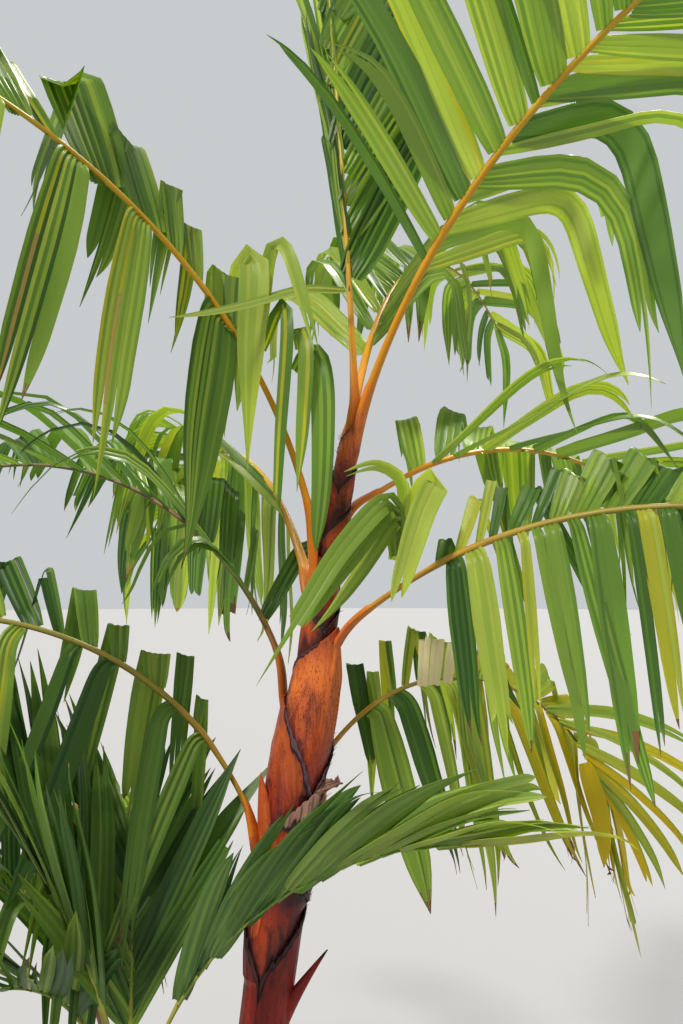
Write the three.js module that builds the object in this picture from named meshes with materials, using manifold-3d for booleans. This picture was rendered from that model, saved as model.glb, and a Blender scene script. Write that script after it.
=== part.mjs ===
// A young orange crownshaft palm, as a clump from one root: a leaning main stem wrapped in
// orange leaf sheaths, ten feathered fronds, and two suckers at its left foot with three fronds each.
// Millimetres, +Z up. The origin is the centre of the flat cut under the main stem, at ground level.
// +X is to the right and +Y away, as seen by someone who faces the palm.

import * as THREE from "three";
import { mergeVertices } from "three/addons/utils/BufferGeometryUtils.js";
import Module from "manifold-3d";

const wasm = await Module();
wasm.setup();

// Running gap between pieces that touch on the real plant, and how near two fronds may come.
const SEAT_GAP = 0.45;
const LEAF_CLEARANCE = 1.5;
// Edges of a finished solid that are shorter than this are merged away.
const FINEST = 0.1;

// The main stem leans to the right, a little more with height.
const STEM = { height: 1790, lean: 0.091, bow: 0.000022 };

// Stem radius at each height, from the root flare to the fork under the youngest frond.
const STEM_GIRTH = [
  [0, 76],
  [30, 60],
  [95, 47],
  [400, 40],
  [600, 36],
  [800, 34],
  [1080, 31.5],
  [1290, 26.5],
  [1430, 23.5],
  [1570, 17.5],
  [1680, 13],
  [1790, 9],
];

// Each leaf sheath wraps the stem from low to high. Its mouth is highest at its heading, where the
// petiole leaves, and drops by notch to the side where it opens. Radii are at its foot, belly and
// mouth; belly is a share of its height; lean is how far its middle swells towards its heading, and
// lip how far its mouth does.
const SHEATHS = [
  {
    name: "sheath_oldest", heading: 0, open: 215, low: 400, high: 745, notch: 170,
    radii: [43, 43, 42.5], belly: 0.5, lean: 0, lip: 1,
  },
  {
    name: "sheath_dead", heading: 95, open: -86, low: 590, high: 965, notch: 172,
    radii: [37.5, 40, 42], belly: 0.55, lean: 0, lip: 1,
  },
  {
    name: "sheath_low_left", heading: 192, open: 20, low: 815, high: 1030, notch: 100,
    radii: [38, 41, 40], belly: 0.6, lean: 5, lip: 7,
  },
  {
    name: "sheath_low_right", heading: 15, open: -125, low: 935, high: 1148, notch: 105,
    radii: [37.5, 42, 40.5], belly: 0.62, lean: 15, lip: 5,
  },
  {
    name: "sheath_mid_left", heading: 160, open: -48, low: 1002, high: 1292, notch: 165,
    radii: [36, 43, 36], belly: 0.5, lean: 14, lip: 6,
  },
  {
    name: "sheath_mid_right", heading: -22, open: 165, low: 1112, high: 1408, notch: 72,
    radii: [34, 42.5, 31], belly: 0.58, lean: 9, lip: 3,
  },
  {
    name: "sheath_back_low", heading: 112, open: -70, low: 1340, high: 1462, notch: 60,
    radii: [27, 29, 29], belly: 0.5, lean: 0, lip: 2,
  },
  {
    name: "sheath_upper_left", heading: 205, open: 25, low: 1412, high: 1530, notch: 70,
    radii: [26, 27.5, 26.8], belly: 0.5, lean: 2, lip: 3,
  },
  {
    name: "sheath_back_right", heading: 36, open: -140, low: 1500, high: 1615, notch: 60,
    radii: [22.5, 23.5, 21.5], belly: 0.5, lean: 1, lip: 2,
  },
  {
    name: "sheath_back_high", heading: 72, open: -100, low: 1580, high: 1690, notch: 50,
    radii: [19, 19.5, 18.5], belly: 0.5, lean: 0, lip: 2,
  },
  {
    name: "sheath_upper_right", heading: -18, open: 160, low: 1650, high: 1755, notch: 50,
    radii: [15.5, 16.5, 14.5], belly: 0.5, lean: 1, lip: 2,
  },
];

// How a row of leaflets stands: rise above the rib's plane at its root and sweep towards the rib's
// tip, in degrees; hang, the share of the way that its outer part turns straight down; crease, the
// share of its length where it bends over; soft, the share of its length that the bend takes; roll,
// how far its edge towards the rib's tip is turned up, in degrees.
const STIFF = { rise: 38, sweep: 34, hang: 0.14, crease: 0.6, soft: 0.4, roll: 16 };
const ARCHED = { rise: 36, sweep: 36, hang: 0.86, crease: 0.2, soft: 0.42, roll: 8 };
const DRAPED = { rise: 6, sweep: 20, hang: 0.9, crease: 0.06, soft: 0.14, roll: 0 };
const FOLDED = { rise: 52, sweep: 20, hang: 0.92, crease: 0.28, soft: 0.1, roll: 0 };
const SPEARED = { rise: 12, sweep: 66, hang: 0.04, crease: 0.6, soft: 0.4, roll: 16 };
const CLOSED = { rise: 12, sweep: 76, hang: 0.04, crease: 0.6, soft: 0.4, roll: 16 };
const FANNED = { rise: 16, sweep: 56, hang: 0.1, crease: 0.5, soft: 0.5, roll: 16 };
const CUPPED = { rise: 56, sweep: 68, hang: 0.3, crease: 0.35, soft: 0.65, roll: 0 };

// Each frond leaves the stem at foot, towards heading, climbs at rise and bows over by arch along
// its length while it turns by swing. Its leaflets start after the bare petiole. left and right are
// as seen from its foot.
const FRONDS = [
  {
    name: "frond_upper_right", foot: 1705, heading: -18, rise: 76, arch: 83, swing: -34, length: 1550,
    petiole: 330, pairs: 17, leaf: 560, wide: 52, girth: 11.5, left: ARCHED, right: STIFF, seed: 1,
  },
  {
    name: "frond_spear", foot: 1790, heading: 112, rise: 84, arch: 16, swing: -14, length: 1280,
    petiole: 200, pairs: 11, leaf: 560, wide: 76, girth: 8.5, left: CLOSED, right: SPEARED, seed: 2,
  },
  {
    name: "frond_upper_left", foot: 1500, heading: 208, rise: 83, arch: 114, swing: 32, length: 1550,
    petiole: 400, pairs: 14, leaf: 450, wide: 72, girth: 11, left: DRAPED, right: FOLDED, seed: 3,
  },
  {
    name: "frond_mid_right", foot: 1372, heading: -22, rise: 44, arch: 99, swing: 3, length: 1420,
    petiole: 250, pairs: 14, leaf: 440, wide: 68, girth: 12, left: FOLDED, right: DRAPED, seed: 4,
  },
  {
    name: "frond_back_right", foot: 1588, heading: 36, rise: 37, arch: 99, swing: -1, length: 1350,
    petiole: 200, pairs: 13, leaf: 440, wide: 58, girth: 9.5, left: ARCHED, right: FOLDED, seed: 5,
  },
  {
    name: "frond_mid_left", foot: 1262, heading: 156, rise: 76, arch: 116, swing: 12, length: 1350,
    petiole: 250, pairs: 12, leaf: 450, wide: 58, girth: 10, left: FOLDED, right: ARCHED, seed: 6,
  },
  {
    name: "frond_low_left", foot: 985, heading: 192, rise: 80, arch: 131, swing: 4, length: 1250,
    petiole: 260, pairs: 12, leaf: 420, wide: 62, girth: 10, left: DRAPED, right: FOLDED, seed: 7,
  },
  {
    name: "frond_low_right", foot: 1100, heading: 40, rise: 58, arch: 128, swing: -25, length: 850,
    petiole: 170, pairs: 10, leaf: 430, wide: 56, girth: 9, left: FOLDED, right: DRAPED, seed: 8,
  },
  {
    name: "frond_back_high", foot: 1652, heading: 72, rise: 72, arch: 96, swing: -8, length: 1450,
    petiole: 280, pairs: 13, leaf: 480, wide: 56, girth: 9.5, left: ARCHED, right: ARCHED, seed: 9,
  },
  {
    name: "frond_back_low", foot: 1422, heading: 112, rise: 58, arch: 98, swing: 6, length: 1300,
    petiole: 240, pairs: 12, leaf: 440, wide: 56, girth: 9.5, left: ARCHED, right: DRAPED, seed: 10,
  },
];

// The suckers: a thin stem from the flare of the main stem, one orange sheath, and young fronds.
const SUCKERS = [
  {
    name: "sucker_front", foot: [-72, -66, 0], top: [-108, -165, 690],
    girth: [27, 17, 11], sheath: [330, 610],
    fronds: [
      {
        name: "sucker_front_frond_right", drop: 60, heading: -12, rise: 80, arch: 70, swing: 3, length: 700,
        petiole: 250, pairs: 6, leaf: 440, wide: 74, girth: 6.5, left: CUPPED, right: CUPPED, seed: 11,
      },
      {
        name: "sucker_front_frond_left", drop: 30, heading: 196, rise: 84, arch: 40, swing: -25, length: 640,
        petiole: 200, pairs: 6, leaf: 450, wide: 70, girth: 6.5, left: CUPPED, right: CUPPED, seed: 12,
      },
      {
        name: "sucker_front_frond_back", drop: 0, heading: 95, rise: 88, arch: 42, swing: 10, length: 400,
        petiole: 110, pairs: 5, leaf: 350, wide: 66, girth: 6, left: FANNED, right: FANNED, seed: 13,
      },
    ],
  },
  {
    name: "sucker_side", foot: [-94, 18, 0], top: [-185, 20, 640],
    girth: [25, 16, 10], sheath: [300, 560],
    fronds: [
      {
        name: "sucker_side_frond_left", drop: 50, heading: 182, rise: 95, arch: 112, swing: 5, length: 820,
        petiole: 180, pairs: 8, leaf: 380, wide: 56, girth: 6, left: STIFF, right: STIFF, seed: 14,
      },
      {
        name: "sucker_side_frond_back", drop: 25, heading: 115, rise: 74, arch: 90, swing: 0, length: 760,
        petiole: 170, pairs: 7, leaf: 380, wide: 56, girth: 6, left: FANNED, right: ARCHED, seed: 15,
      },
      {
        name: "sucker_side_frond_front", drop: 0, heading: 248, rise: 74, arch: 85, swing: 0, length: 560,
        petiole: 140, pairs: 6, leaf: 330, wide: 52, girth: 5.5, left: FANNED, right: FANNED, seed: 16,
      },
    ],
  },
];

// Colour and roughness of each kind of piece.
const DEAD_SHEATHS = ["sheath_oldest", "sheath_dead"];
const OLD_FROND = "frond_low_right";
const COLOURS = {
  trunk: [0x6f5a46, 0.85],
  sheath: [0xc4511c, 0.5],
  deadSheath: [0x9c3a1e, 0.65],
  leaf: [0x4f7d2a, 0.5],
  oldLeaf: [0xa6a637, 0.6],
};

const UP = new THREE.Vector3(0, 0, 1);
const DOWN = new THREE.Vector3(0, 0, -1);
const radians = THREE.MathUtils.degToRad;
const smooth = (x) => THREE.MathUtils.smoothstep(x, 0, 1);

// A number from 0 to 1 that looks random but is the same on every run.
const shake = (seed, k) => {
  const x = Math.sin(seed * 127.1 + k * 311.7) * 43758.5453;
  return x - Math.floor(x);
};

// Value at x of a line through [x, y] pairs.
const along = (pairs, x) => {
  for (let i = 1; i < pairs.length; i++) {
    if (x <= pairs[i][0] || i === pairs.length - 1) {
      const [x0, y0] = pairs[i - 1];
      const [x1, y1] = pairs[i];
      return y0 + ((y1 - y0) * (x - x0)) / (x1 - x0);
    }
  }
};

const stemAt = (z) => new THREE.Vector3(STEM.lean * z + STEM.bow * z * z, 0, z);
const headingOf = (degrees) => new THREE.Vector3(Math.cos(radians(degrees)), Math.sin(radians(degrees)), 0);

// Whether d lies on the outer side of the triangle abc, so that splitting along ac would fold inwards.
function foldsIn(a, b, c, d) {
  const outward = new THREE.Vector3().subVectors(b, a).cross(new THREE.Vector3().subVectors(c, a));
  return outward.dot(new THREE.Vector3().subVectors(d, a)) > 0;
}

// A closed solid through rings of points: each ring has the same count, counter-clockwise as seen
// from the end, and the first and last are closed by a fan. A full one has each of its four-sided
// faces split so that it bulges, which keeps a thin twisted strip from passing through itself.
function loft(rings, full = false) {
  const sides = rings[0].length;
  const positions = [];
  const face = (a, b, c) => positions.push(...a.toArray(), ...b.toArray(), ...c.toArray());
  for (let i = 1; i < rings.length; i++) {
    for (let j = 0; j < sides; j++) {
      const k = (j + 1) % sides;
      const quad = [rings[i - 1][j], rings[i - 1][k], rings[i][k], rings[i][j]];
      const [a, b, c, d] = full && foldsIn(...quad) ? [...quad.slice(1), quad[0]] : quad;
      face(a, b, c);
      face(a, c, d);
    }
  }
  const last = rings[rings.length - 1];
  for (let j = 1; j < sides - 1; j++) {
    face(rings[0][0], rings[0][j + 1], rings[0][j]);
    face(last[0], last[j], last[j + 1]);
  }
  const geometry = new THREE.BufferGeometry();
  geometry.setAttribute("position", new THREE.Float32BufferAttribute(positions, 3));
  return solidOf(geometry);
}

function solidOf(geometry) {
  const merged = mergeVertices(geometry, 1e-4);
  return new wasm.Manifold(
    new wasm.Mesh({
      numProp: 3,
      vertProperties: merged.attributes.position.array,
      triVerts: new Uint32Array(merged.index.array),
    }),
  );
}

function meshOf(name, solid, [colour, roughness]) {
  const { numVert, numProp, vertProperties, triVerts } = solid.getMesh();
  const positions = new Float32Array(numVert * 3);
  for (let i = 0; i < numVert; i++) {
    positions.set(vertProperties.subarray(i * numProp, i * numProp + 3), i * 3);
  }
  const geometry = new THREE.BufferGeometry();
  geometry.setAttribute("position", new THREE.BufferAttribute(positions, 3));
  geometry.setIndex(new THREE.BufferAttribute(triVerts, 1));
  geometry.computeVertexNormals();
  const material = new THREE.MeshStandardMaterial({ color: colour, roughness, metalness: 0 });
  const mesh = new THREE.Mesh(geometry, material);
  mesh.name = name;
  return mesh;
}

// The largest body of a solid, so that no loose scrap is left by a cut.
const largest = (solid) => solid.decompose().reduce((a, b) => (a.volume() > b.volume() ? a : b));

// A ring of points round the main stem at height z.
function stemRing(z, radius, sides) {
  const centre = stemAt(z);
  return Array.from({ length: sides }, (_, j) =>
    headingOf((360 * j) / sides).multiplyScalar(radius).add(centre),
  );
}

const TRUNK_SIDES = 12;
function trunkSolid(grow = 0) {
  const last = STEM_GIRTH.length - 1;
  return loft(
    STEM_GIRTH.map(([z, radius], i) =>
      stemRing(z + (i === last ? grow : 0) - (i === 0 ? grow : 0), radius + grow, TRUNK_SIDES),
    ),
  );
}

// A sheath as a full plug: a stack of rings that are level at its foot and slanted at its mouth,
// and that swell towards its heading.
const SHEATH_SIDES = 10;
const SHEATH_STEPS = [0, 0.25, 0.6, 1];
// How much more a slanted mouth is raised than a side is widened, when a sheath is grown.
const STEEP = 4;
// Angle from one heading to another, from -180 to 180.
const turnFrom = (from, to) => ((((to - from) % 360) + 540) % 360) - 180;
function sheathSolid({ heading, open, low, high, notch, radii, belly, lean, lip }, grow = 0) {
  const [foot, middle, mouth] = radii;
  const gape = turnFrom(heading, open);
  return loft(
    SHEATH_STEPS.map((share) =>
      Array.from({ length: SHEATH_SIDES }, (_, j) => {
        const turn = (360 * j) / SHEATH_SIDES + heading;
        const off = turnFrom(heading, turn);
        const fall = Math.abs(off) / (off * gape > 0 ? Math.abs(gape) : 360 - Math.abs(gape));
        const rim = high - notch * smooth(Math.min(fall, 2 - fall)) + grow * STEEP;
        const z = low - grow + (rim - low + grow) * share;
        const swell = along([[0, foot], [belly, middle], [1, mouth]], share);
        return stemAt(z)
          .addScaledVector(headingOf(turn), (swell + grow) / Math.cos(Math.PI / SHEATH_SIDES))
          .addScaledVector(headingOf(heading), lean * Math.sin(Math.PI * share ** 0.8) + lip * share);
      }),
    ),
  );
}

// The broken petiole that stands out of the oldest sheath.
const STUB = {
  foot: 680, tip: 880, root: 12, reach: 92, heading: -14, width: 13, thickness: 22, sides: 6,
};
function stubSolid() {
  const { foot, tip, root, reach, heading, width, thickness, sides } = STUB;
  const out = headingOf(heading);
  const across = headingOf(heading + 90);
  const steps = [0, 0.35, 0.7, 1];
  return loft(
    steps.map((share) => {
      const bend = share ** 1.3;
      const centre = stemAt(foot + (tip - foot) * share).addScaledVector(out, root + (reach - root) * bend);
      const taper = 1 - 0.93 * bend;
      return Array.from({ length: sides }, (_, j) => {
        const a = (2 * Math.PI * j) / sides;
        return centre
          .clone()
          .addScaledVector(out, thickness * taper * Math.cos(a))
          .addScaledVector(across, width * taper * Math.sin(a));
      });
    }),
  );
}

// The rib of a frond: points, tangents and upper-side normals at equal steps along its length.
const RIB_STEPS = 60;
function ribOf(frond, foot) {
  const { heading, rise, arch, swing, length } = frond;
  const point = foot.clone();
  const rib = [];
  for (let i = 0; i <= RIB_STEPS; i++) {
    const share = i / RIB_STEPS;
    const climb = radians(rise - arch * share);
    const out = headingOf(heading + swing * share);
    const tangent = out.clone().multiplyScalar(Math.cos(climb)).addScaledVector(UP, Math.sin(climb));
    const normal = out.clone().multiplyScalar(-Math.sin(climb)).addScaledVector(UP, Math.cos(climb));
    const side = new THREE.Vector3().crossVectors(normal, tangent);
    if (i > 0) point.addScaledVector(tangent, length / RIB_STEPS);
    rib.push({ point: point.clone(), tangent, normal, side });
  }
  return rib;
}

// Radius of a rib at a share of its length: a broad foot, then an even taper.
const ribRadius = (frond, share) => frond.girth * (0.2 + 0.62 * (1 - share) + 0.4 * Math.exp(-share * 22));

// Four flat sides, two of which face the two rows of leaflets.
const RIB_SIDES = 4;
const RIB_RINGS = 9;
function ribSolid(frond, rib, grow = 0) {
  const rings = [];
  for (let r = 0; r < RIB_RINGS; r++) {
    const share = (r / (RIB_RINGS - 1)) ** 1.25;
    const { point, normal, side } = rib[Math.round(share * RIB_STEPS)];
    const radius = ribRadius(frond, share) + grow;
    rings.push(
      Array.from({ length: RIB_SIDES }, (_, j) => {
        const a = (2 * Math.PI * (j + 0.5)) / RIB_SIDES;
        return point
          .clone()
          .addScaledVector(side, radius * Math.cos(a))
          .addScaledVector(normal, radius * Math.sin(a));
      }),
    );
  }
  return loft(rings);
}

// One leaflet as drawn from its rib: where it starts and how long, wide and bent it is.
const SPINE_STEPS = 24;
function leafletOf(frond, rib, index, handed) {
  const habit = handed > 0 ? frond.left : frond.right;
  const key = index * 16 + (handed > 0 ? 0 : 8);
  const vary = (channel, amount) => 1 + amount * (2 * shake(frond.seed, key + channel) - 1);
  const share = (index + (handed > 0 ? 0.1 : 0.5)) / frond.pairs;
  const station = frond.petiole / frond.length + (1 - frond.petiole / frond.length) * share;
  const at = rib[Math.min(RIB_STEPS, Math.round(station * RIB_STEPS))];
  const sweep = radians(habit.sweep + Math.max(0, 76 - habit.sweep) * share ** 2.5) * vary(1, 0.1);
  const rise = radians(habit.rise * (1 - 0.4 * share)) * vary(2, 0.3);
  const start = at.side
    .clone()
    .multiplyScalar(handed * Math.cos(sweep) * Math.cos(rise))
    .addScaledVector(at.normal, Math.cos(sweep) * Math.sin(rise))
    .addScaledVector(at.tangent, Math.sin(sweep));
  const fullness = Math.sin(Math.PI * Math.min(1, 0.2 + share * 0.75));
  return {
    root: at.point, start, across: at.tangent.clone().multiplyScalar(-handed),
    length: frond.leaf * (0.7 + 0.3 * fullness) * vary(3, 0.13),
    width: frond.wide * (0.6 + 0.4 * fullness) * vary(4, 0.25),
    hang: habit.hang * vary(5, 0.1),
    crease: habit.crease * vary(6, 0.3),
    soft: habit.soft,
    roll: -handed * radians(habit.roll),
    twist: radians(30) * (2 * shake(frond.seed, key + 7) - 1),
  };
}

// Points, directions and width vectors down a leaflet's middle.
function spineOf(leaf) {
  const point = leaf.root.clone();
  const wide = leaf.across.clone();
  const spine = [];
  for (let i = 0; i <= SPINE_STEPS; i++) {
    const u = i / SPINE_STEPS;
    const pull = leaf.hang * smooth((u - leaf.crease) / leaf.soft);
    const forward = leaf.start.clone().multiplyScalar(1 - pull).addScaledVector(DOWN, pull).normalize();
    if (i > 0) point.addScaledVector(forward, leaf.length / SPINE_STEPS);
    wide.addScaledVector(forward, -wide.dot(forward)).normalize();
    const turned = wide.clone().applyAxisAngle(forward, leaf.roll + leaf.twist * u);
    const normal = new THREE.Vector3().crossVectors(forward, turned);
    spine.push({ point: point.clone(), wide: turned, normal });
  }
  return spine;
}

// Half the width of a leaflet at a share of its length, as a share of its full width.
const HALF_WIDTH = [
  [0, 0.12],
  [0.2, 0.44],
  [0.5, 0.5],
  [0.8, 0.4],
  [1, 0.2],
];
const LEAF_THICKNESS = 0.011;

// A leaflet as a solid strip of three sides: two edges and a low keel.
function leafletSolid(leaf, trim = 1) {
  const spine = spineOf(leaf);
  const depth = leaf.length * LEAF_THICKNESS;
  const bends = leaf.hang < 0.3 ? [0.4] : [Math.max(0.1, leaf.crease), leaf.crease + leaf.soft];
  const stations = [0, ...bends, 1]
    .map((u) => Math.min(u, trim))
    .filter((u, i, all) => i === 0 || u > all[i - 1] + 0.03);
  return loft(
    stations.map((u) => {
      const { point, wide, normal } = spine[Math.round(u * SPINE_STEPS)];
      const half = leaf.width * along(HALF_WIDTH, u);
      return [
        point.clone().addScaledVector(wide, half).addScaledVector(normal, -depth / 3),
        point.clone().addScaledVector(normal, (2 * depth) / 3),
        point.clone().addScaledVector(wide, -half).addScaledVector(normal, -depth / 3),
      ];
    }),
    true,
  );
}

// What is already standing, with its box, so that a new piece is tried only against what is near it.
const standing = [];
function touches(solid, owner, clearance) {
  const { min, max } = solid.boundingBox();
  return standing.some(
    (other) =>
      other.owner !== owner &&
      other.box.min.every((low, k) => low - clearance < max[k]) &&
      other.box.max.every((high, k) => high + clearance > min[k]) &&
      solid.minGap(other.solid, clearance * 2) < clearance,
  );
}
const stand = (solid, owner) => standing.push({ solid, owner, box: solid.boundingBox() });

// A whole frond. A leaflet that would touch another frond ends short of it, or is left out if less
// than TRIMS' last share of it is free.
const TRIMS = [1, 0.8, 0.6];
function stalkOf(frond, foot, cutters) {
  const rib = ribOf(frond, foot);
  let stalk = ribSolid(frond, rib);
  for (const cutter of cutters) stalk = stalk.subtract(cutter);
  stalk = largest(stalk);
  cutters.push(ribSolid(frond, rib, SEAT_GAP * 1.5));
  stand(stalk, frond.name);
  return { frond, rib, stalk };
}
function frondSolid({ frond, rib, stalk }) {
  const pieces = [stalk];
  for (let index = 0; index < frond.pairs; index++) {
    for (const handed of [1, -1]) {
      const leaf = leafletOf(frond, rib, index, handed);
      const free = TRIMS.map((trim) => leafletSolid(leaf, trim)).find(
        (solid) => !touches(solid, frond.name, LEAF_CLEARANCE),
      );
      if (free) pieces.push(free);
    }
  }
  const whole = largest(wasm.Manifold.union(pieces).simplify(FINEST));
  stand(whole, frond.name);
  return whole;
}

// A sucker's stem and sheath run along a straight line from its foot to its top.
const SUCKER_SIDES = 8;
function suckerRing(sucker, share, radius) {
  const foot = new THREE.Vector3(...sucker.foot);
  const centre = foot.lerp(new THREE.Vector3(...sucker.top), share);
  return Array.from({ length: SUCKER_SIDES }, (_, j) =>
    headingOf((360 * j) / SUCKER_SIDES).multiplyScalar(radius).add(centre),
  );
}
function suckerStem(sucker, grow = 0) {
  const [foot, middle, tip] = sucker.girth;
  return loft([
    suckerRing(sucker, 0, foot + grow),
    suckerRing(sucker, 0.12, middle + 4 + grow),
    suckerRing(sucker, 0.55, middle - 3 + grow),
    suckerRing(sucker, 1, tip + grow - 2),
  ]);
}
function suckerSheath(sucker, grow = 0) {
  const [low, high] = sucker.sheath.map((z) => z / sucker.top[2]);
  const [, middle, tip] = sucker.girth;
  const reach = grow / sucker.top[2];
  return loft([
    suckerRing(sucker, low - reach, middle + 3 + grow),
    suckerRing(sucker, (low + high) / 2, middle + 6 + grow),
    suckerRing(sucker, high + reach, tip + 4 + grow),
  ]);
}

const palm = new THREE.Group();
const trunk = trunkSolid();
palm.add(meshOf("trunk", trunk, COLOURS.trunk));
stand(trunk, "trunk");

// Each sheath is cut clear of the stem and of every younger sheath that rises inside it.
const cutters = [trunkSolid(SEAT_GAP)];
for (const sheath of [...SHEATHS].reverse()) {
  let shell = sheathSolid(sheath);
  for (const cutter of cutters) shell = shell.subtract(cutter);
  shell = largest(shell.simplify(FINEST));
  cutters.push(sheathSolid(sheath, SEAT_GAP));
  const dead = DEAD_SHEATHS.includes(sheath.name);
  palm.add(meshOf(sheath.name, shell, dead ? COLOURS.deadSheath : COLOURS.sheath));
  stand(shell, sheath.name);
}
let stub = stubSolid();
for (const cutter of cutters) stub = stub.subtract(cutter);
stub = largest(stub);
palm.add(meshOf("petiole_stub", stub, COLOURS.deadSheath));
stand(stub, "petiole_stub");

const suckerCutters = [];
for (const sucker of SUCKERS) {
  const stem = largest(suckerStem(sucker).subtract(trunkSolid(SEAT_GAP)));
  const sheath = largest(suckerSheath(sucker).subtract(suckerStem(sucker, SEAT_GAP)));
  palm.add(meshOf(sucker.name + "_stem", stem, COLOURS.trunk));
  palm.add(meshOf(sucker.name + "_sheath", sheath, COLOURS.sheath));
  stand(stem, sucker.name);
  stand(sheath, sucker.name);
  suckerCutters.push(suckerStem(sucker, SEAT_GAP), suckerSheath(sucker, SEAT_GAP));
}

// A petiole leaves the side of its own sheath; the youngest frond stands on the tip of the stem.
const footOf = ({ name, foot, heading }) => {
  const sheath = SHEATHS.find((other) => other.name === name.replace("frond", "sheath"));
  return stemAt(foot).addScaledVector(headingOf(heading), sheath ? 0.5 * sheath.radii[2] : 0);
};
const stalks = FRONDS.map((frond) => stalkOf(frond, footOf(frond), cutters));
for (const sucker of SUCKERS) {
  for (const frond of sucker.fronds) {
    const share = (sucker.top[2] - frond.drop) / sucker.top[2];
    const foot = new THREE.Vector3(...sucker.foot).lerp(new THREE.Vector3(...sucker.top), share);
    stalks.push(stalkOf(frond, foot, suckerCutters));
  }
}
for (const stalk of stalks) {
  const { name } = stalk.frond;
  palm.add(meshOf(name, frondSolid(stalk), name === OLD_FROND ? COLOURS.oldLeaf : COLOURS.leaf));
}

export default palm;
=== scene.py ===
"""The looks of a young orange crownshaft palm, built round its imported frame.

The plant is a leaning stem wrapped in orange leaf sheaths, ten feathered fronds and two suckers.
Every rib, sheath and leaflet follows the same rule as the solids, with more and finer leaflets.
Sizes are in millimetres and are turned to metres where a mesh is made.
"""

import logging
import math
from dataclasses import dataclass, field
from enum import Enum

import bpy
import numpy as np
from bpy.types import Material, Node, NodeSocket, NodeTree, Object
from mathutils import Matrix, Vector

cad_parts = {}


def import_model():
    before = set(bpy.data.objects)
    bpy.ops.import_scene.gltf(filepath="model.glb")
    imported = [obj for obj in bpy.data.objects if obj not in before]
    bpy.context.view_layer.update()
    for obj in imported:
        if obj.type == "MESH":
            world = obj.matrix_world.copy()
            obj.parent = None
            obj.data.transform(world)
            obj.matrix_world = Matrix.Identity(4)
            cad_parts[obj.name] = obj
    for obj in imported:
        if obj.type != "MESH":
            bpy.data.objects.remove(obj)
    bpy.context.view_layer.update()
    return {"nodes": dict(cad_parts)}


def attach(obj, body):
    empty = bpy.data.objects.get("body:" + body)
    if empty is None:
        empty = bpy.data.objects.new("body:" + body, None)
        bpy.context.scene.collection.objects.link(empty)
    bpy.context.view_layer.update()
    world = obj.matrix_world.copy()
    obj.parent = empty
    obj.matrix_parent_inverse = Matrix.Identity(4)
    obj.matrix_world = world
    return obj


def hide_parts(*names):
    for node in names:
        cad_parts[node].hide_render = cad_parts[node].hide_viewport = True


MM = 0.001
# Degrees in a radian, rounded.
RADIAN = 57.3
UP = np.array([0.0, 0.0, 1.0])
DOWN = -UP
# Edges that turn by more than this are drawn sharp.
SHARP_EDGE = math.radians(42)
ROOT = "root"

Number = float | np.ndarray
log = logging.getLogger("palm")


# Small maths that every part of the plant shares.


def shake(seed: float, key: Number) -> Number:
    """A number from 0 to 1 that looks random but is the same on every run.

    Args:
        seed: the seed of one frond or sheath.
        key: a number, or an array of numbers, that picks the draw.

    Returns:
        The draw, in the shape of key.
    """
    wave = np.sin(seed * 127.1 + np.asarray(key, float) * 311.7) * 43758.5453
    return wave - np.floor(wave)


def smooth(x: Number) -> Number:
    """Smoothstep of x, held between 0 and 1."""
    held = np.clip(x, 0.0, 1.0)
    return held * held * (3.0 - 2.0 * held)


def unit(vectors: np.ndarray) -> np.ndarray:
    """Vectors of length 1, along the last axis."""
    return vectors / np.maximum(np.linalg.norm(vectors, axis=-1, keepdims=True), 1e-9)


def heading_of(degrees: Number) -> np.ndarray:
    """Level unit vectors at headings in degrees, with 0 along +X."""
    turn = np.radians(np.asarray(degrees, float))
    return np.stack([np.cos(turn), np.sin(turn), np.zeros_like(turn)], axis=-1)


def turn_from(start: Number, end: Number) -> Number:
    """The angle from one heading to another, from -180 to 180 degrees."""
    return (np.asarray(end, float) - start + 540.0) % 360.0 - 180.0


def turned_about(vectors: np.ndarray, axes: np.ndarray, angles: np.ndarray) -> np.ndarray:
    """Vectors turned about unit axes.

    Args:
        vectors: rows of vectors.
        axes: one unit axis for each row.
        angles: one angle in radians for each row.

    Returns:
        The turned vectors.
    """
    c, s = np.cos(angles)[..., None], np.sin(angles)[..., None]
    lean = (axes * vectors).sum(-1, keepdims=True)
    return vectors * c + np.cross(axes, vectors) * s + axes * lean * (1 - c)


def ripple(seed: float, x: Number, waves: int = 5) -> Number:
    """A smooth wandering line from -1 to 1 along x, made of a few sines.

    Args:
        seed: what sets the phases.
        x: where to read it; one unit is about one bend.
        waves: how many sines are added.

    Returns:
        The line's height at x.
    """
    x = np.asarray(x, float)
    total = np.zeros_like(x)
    for k in range(waves):
        phase = 6.283 * shake(seed, 31 + k)
        total = total + np.sin(x * 3.1 * (1 + 0.83 * k) + phase) / (1 + 0.7 * k)
    return total / 2.2


# Meshes from arrays.


def add_object(name: str, data: bpy.types.ID) -> Object:
    """A new object at the origin of the scene, which shows data."""
    made = bpy.data.objects.new(name, data)
    bpy.context.scene.collection.objects.link(made)
    return made


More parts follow.
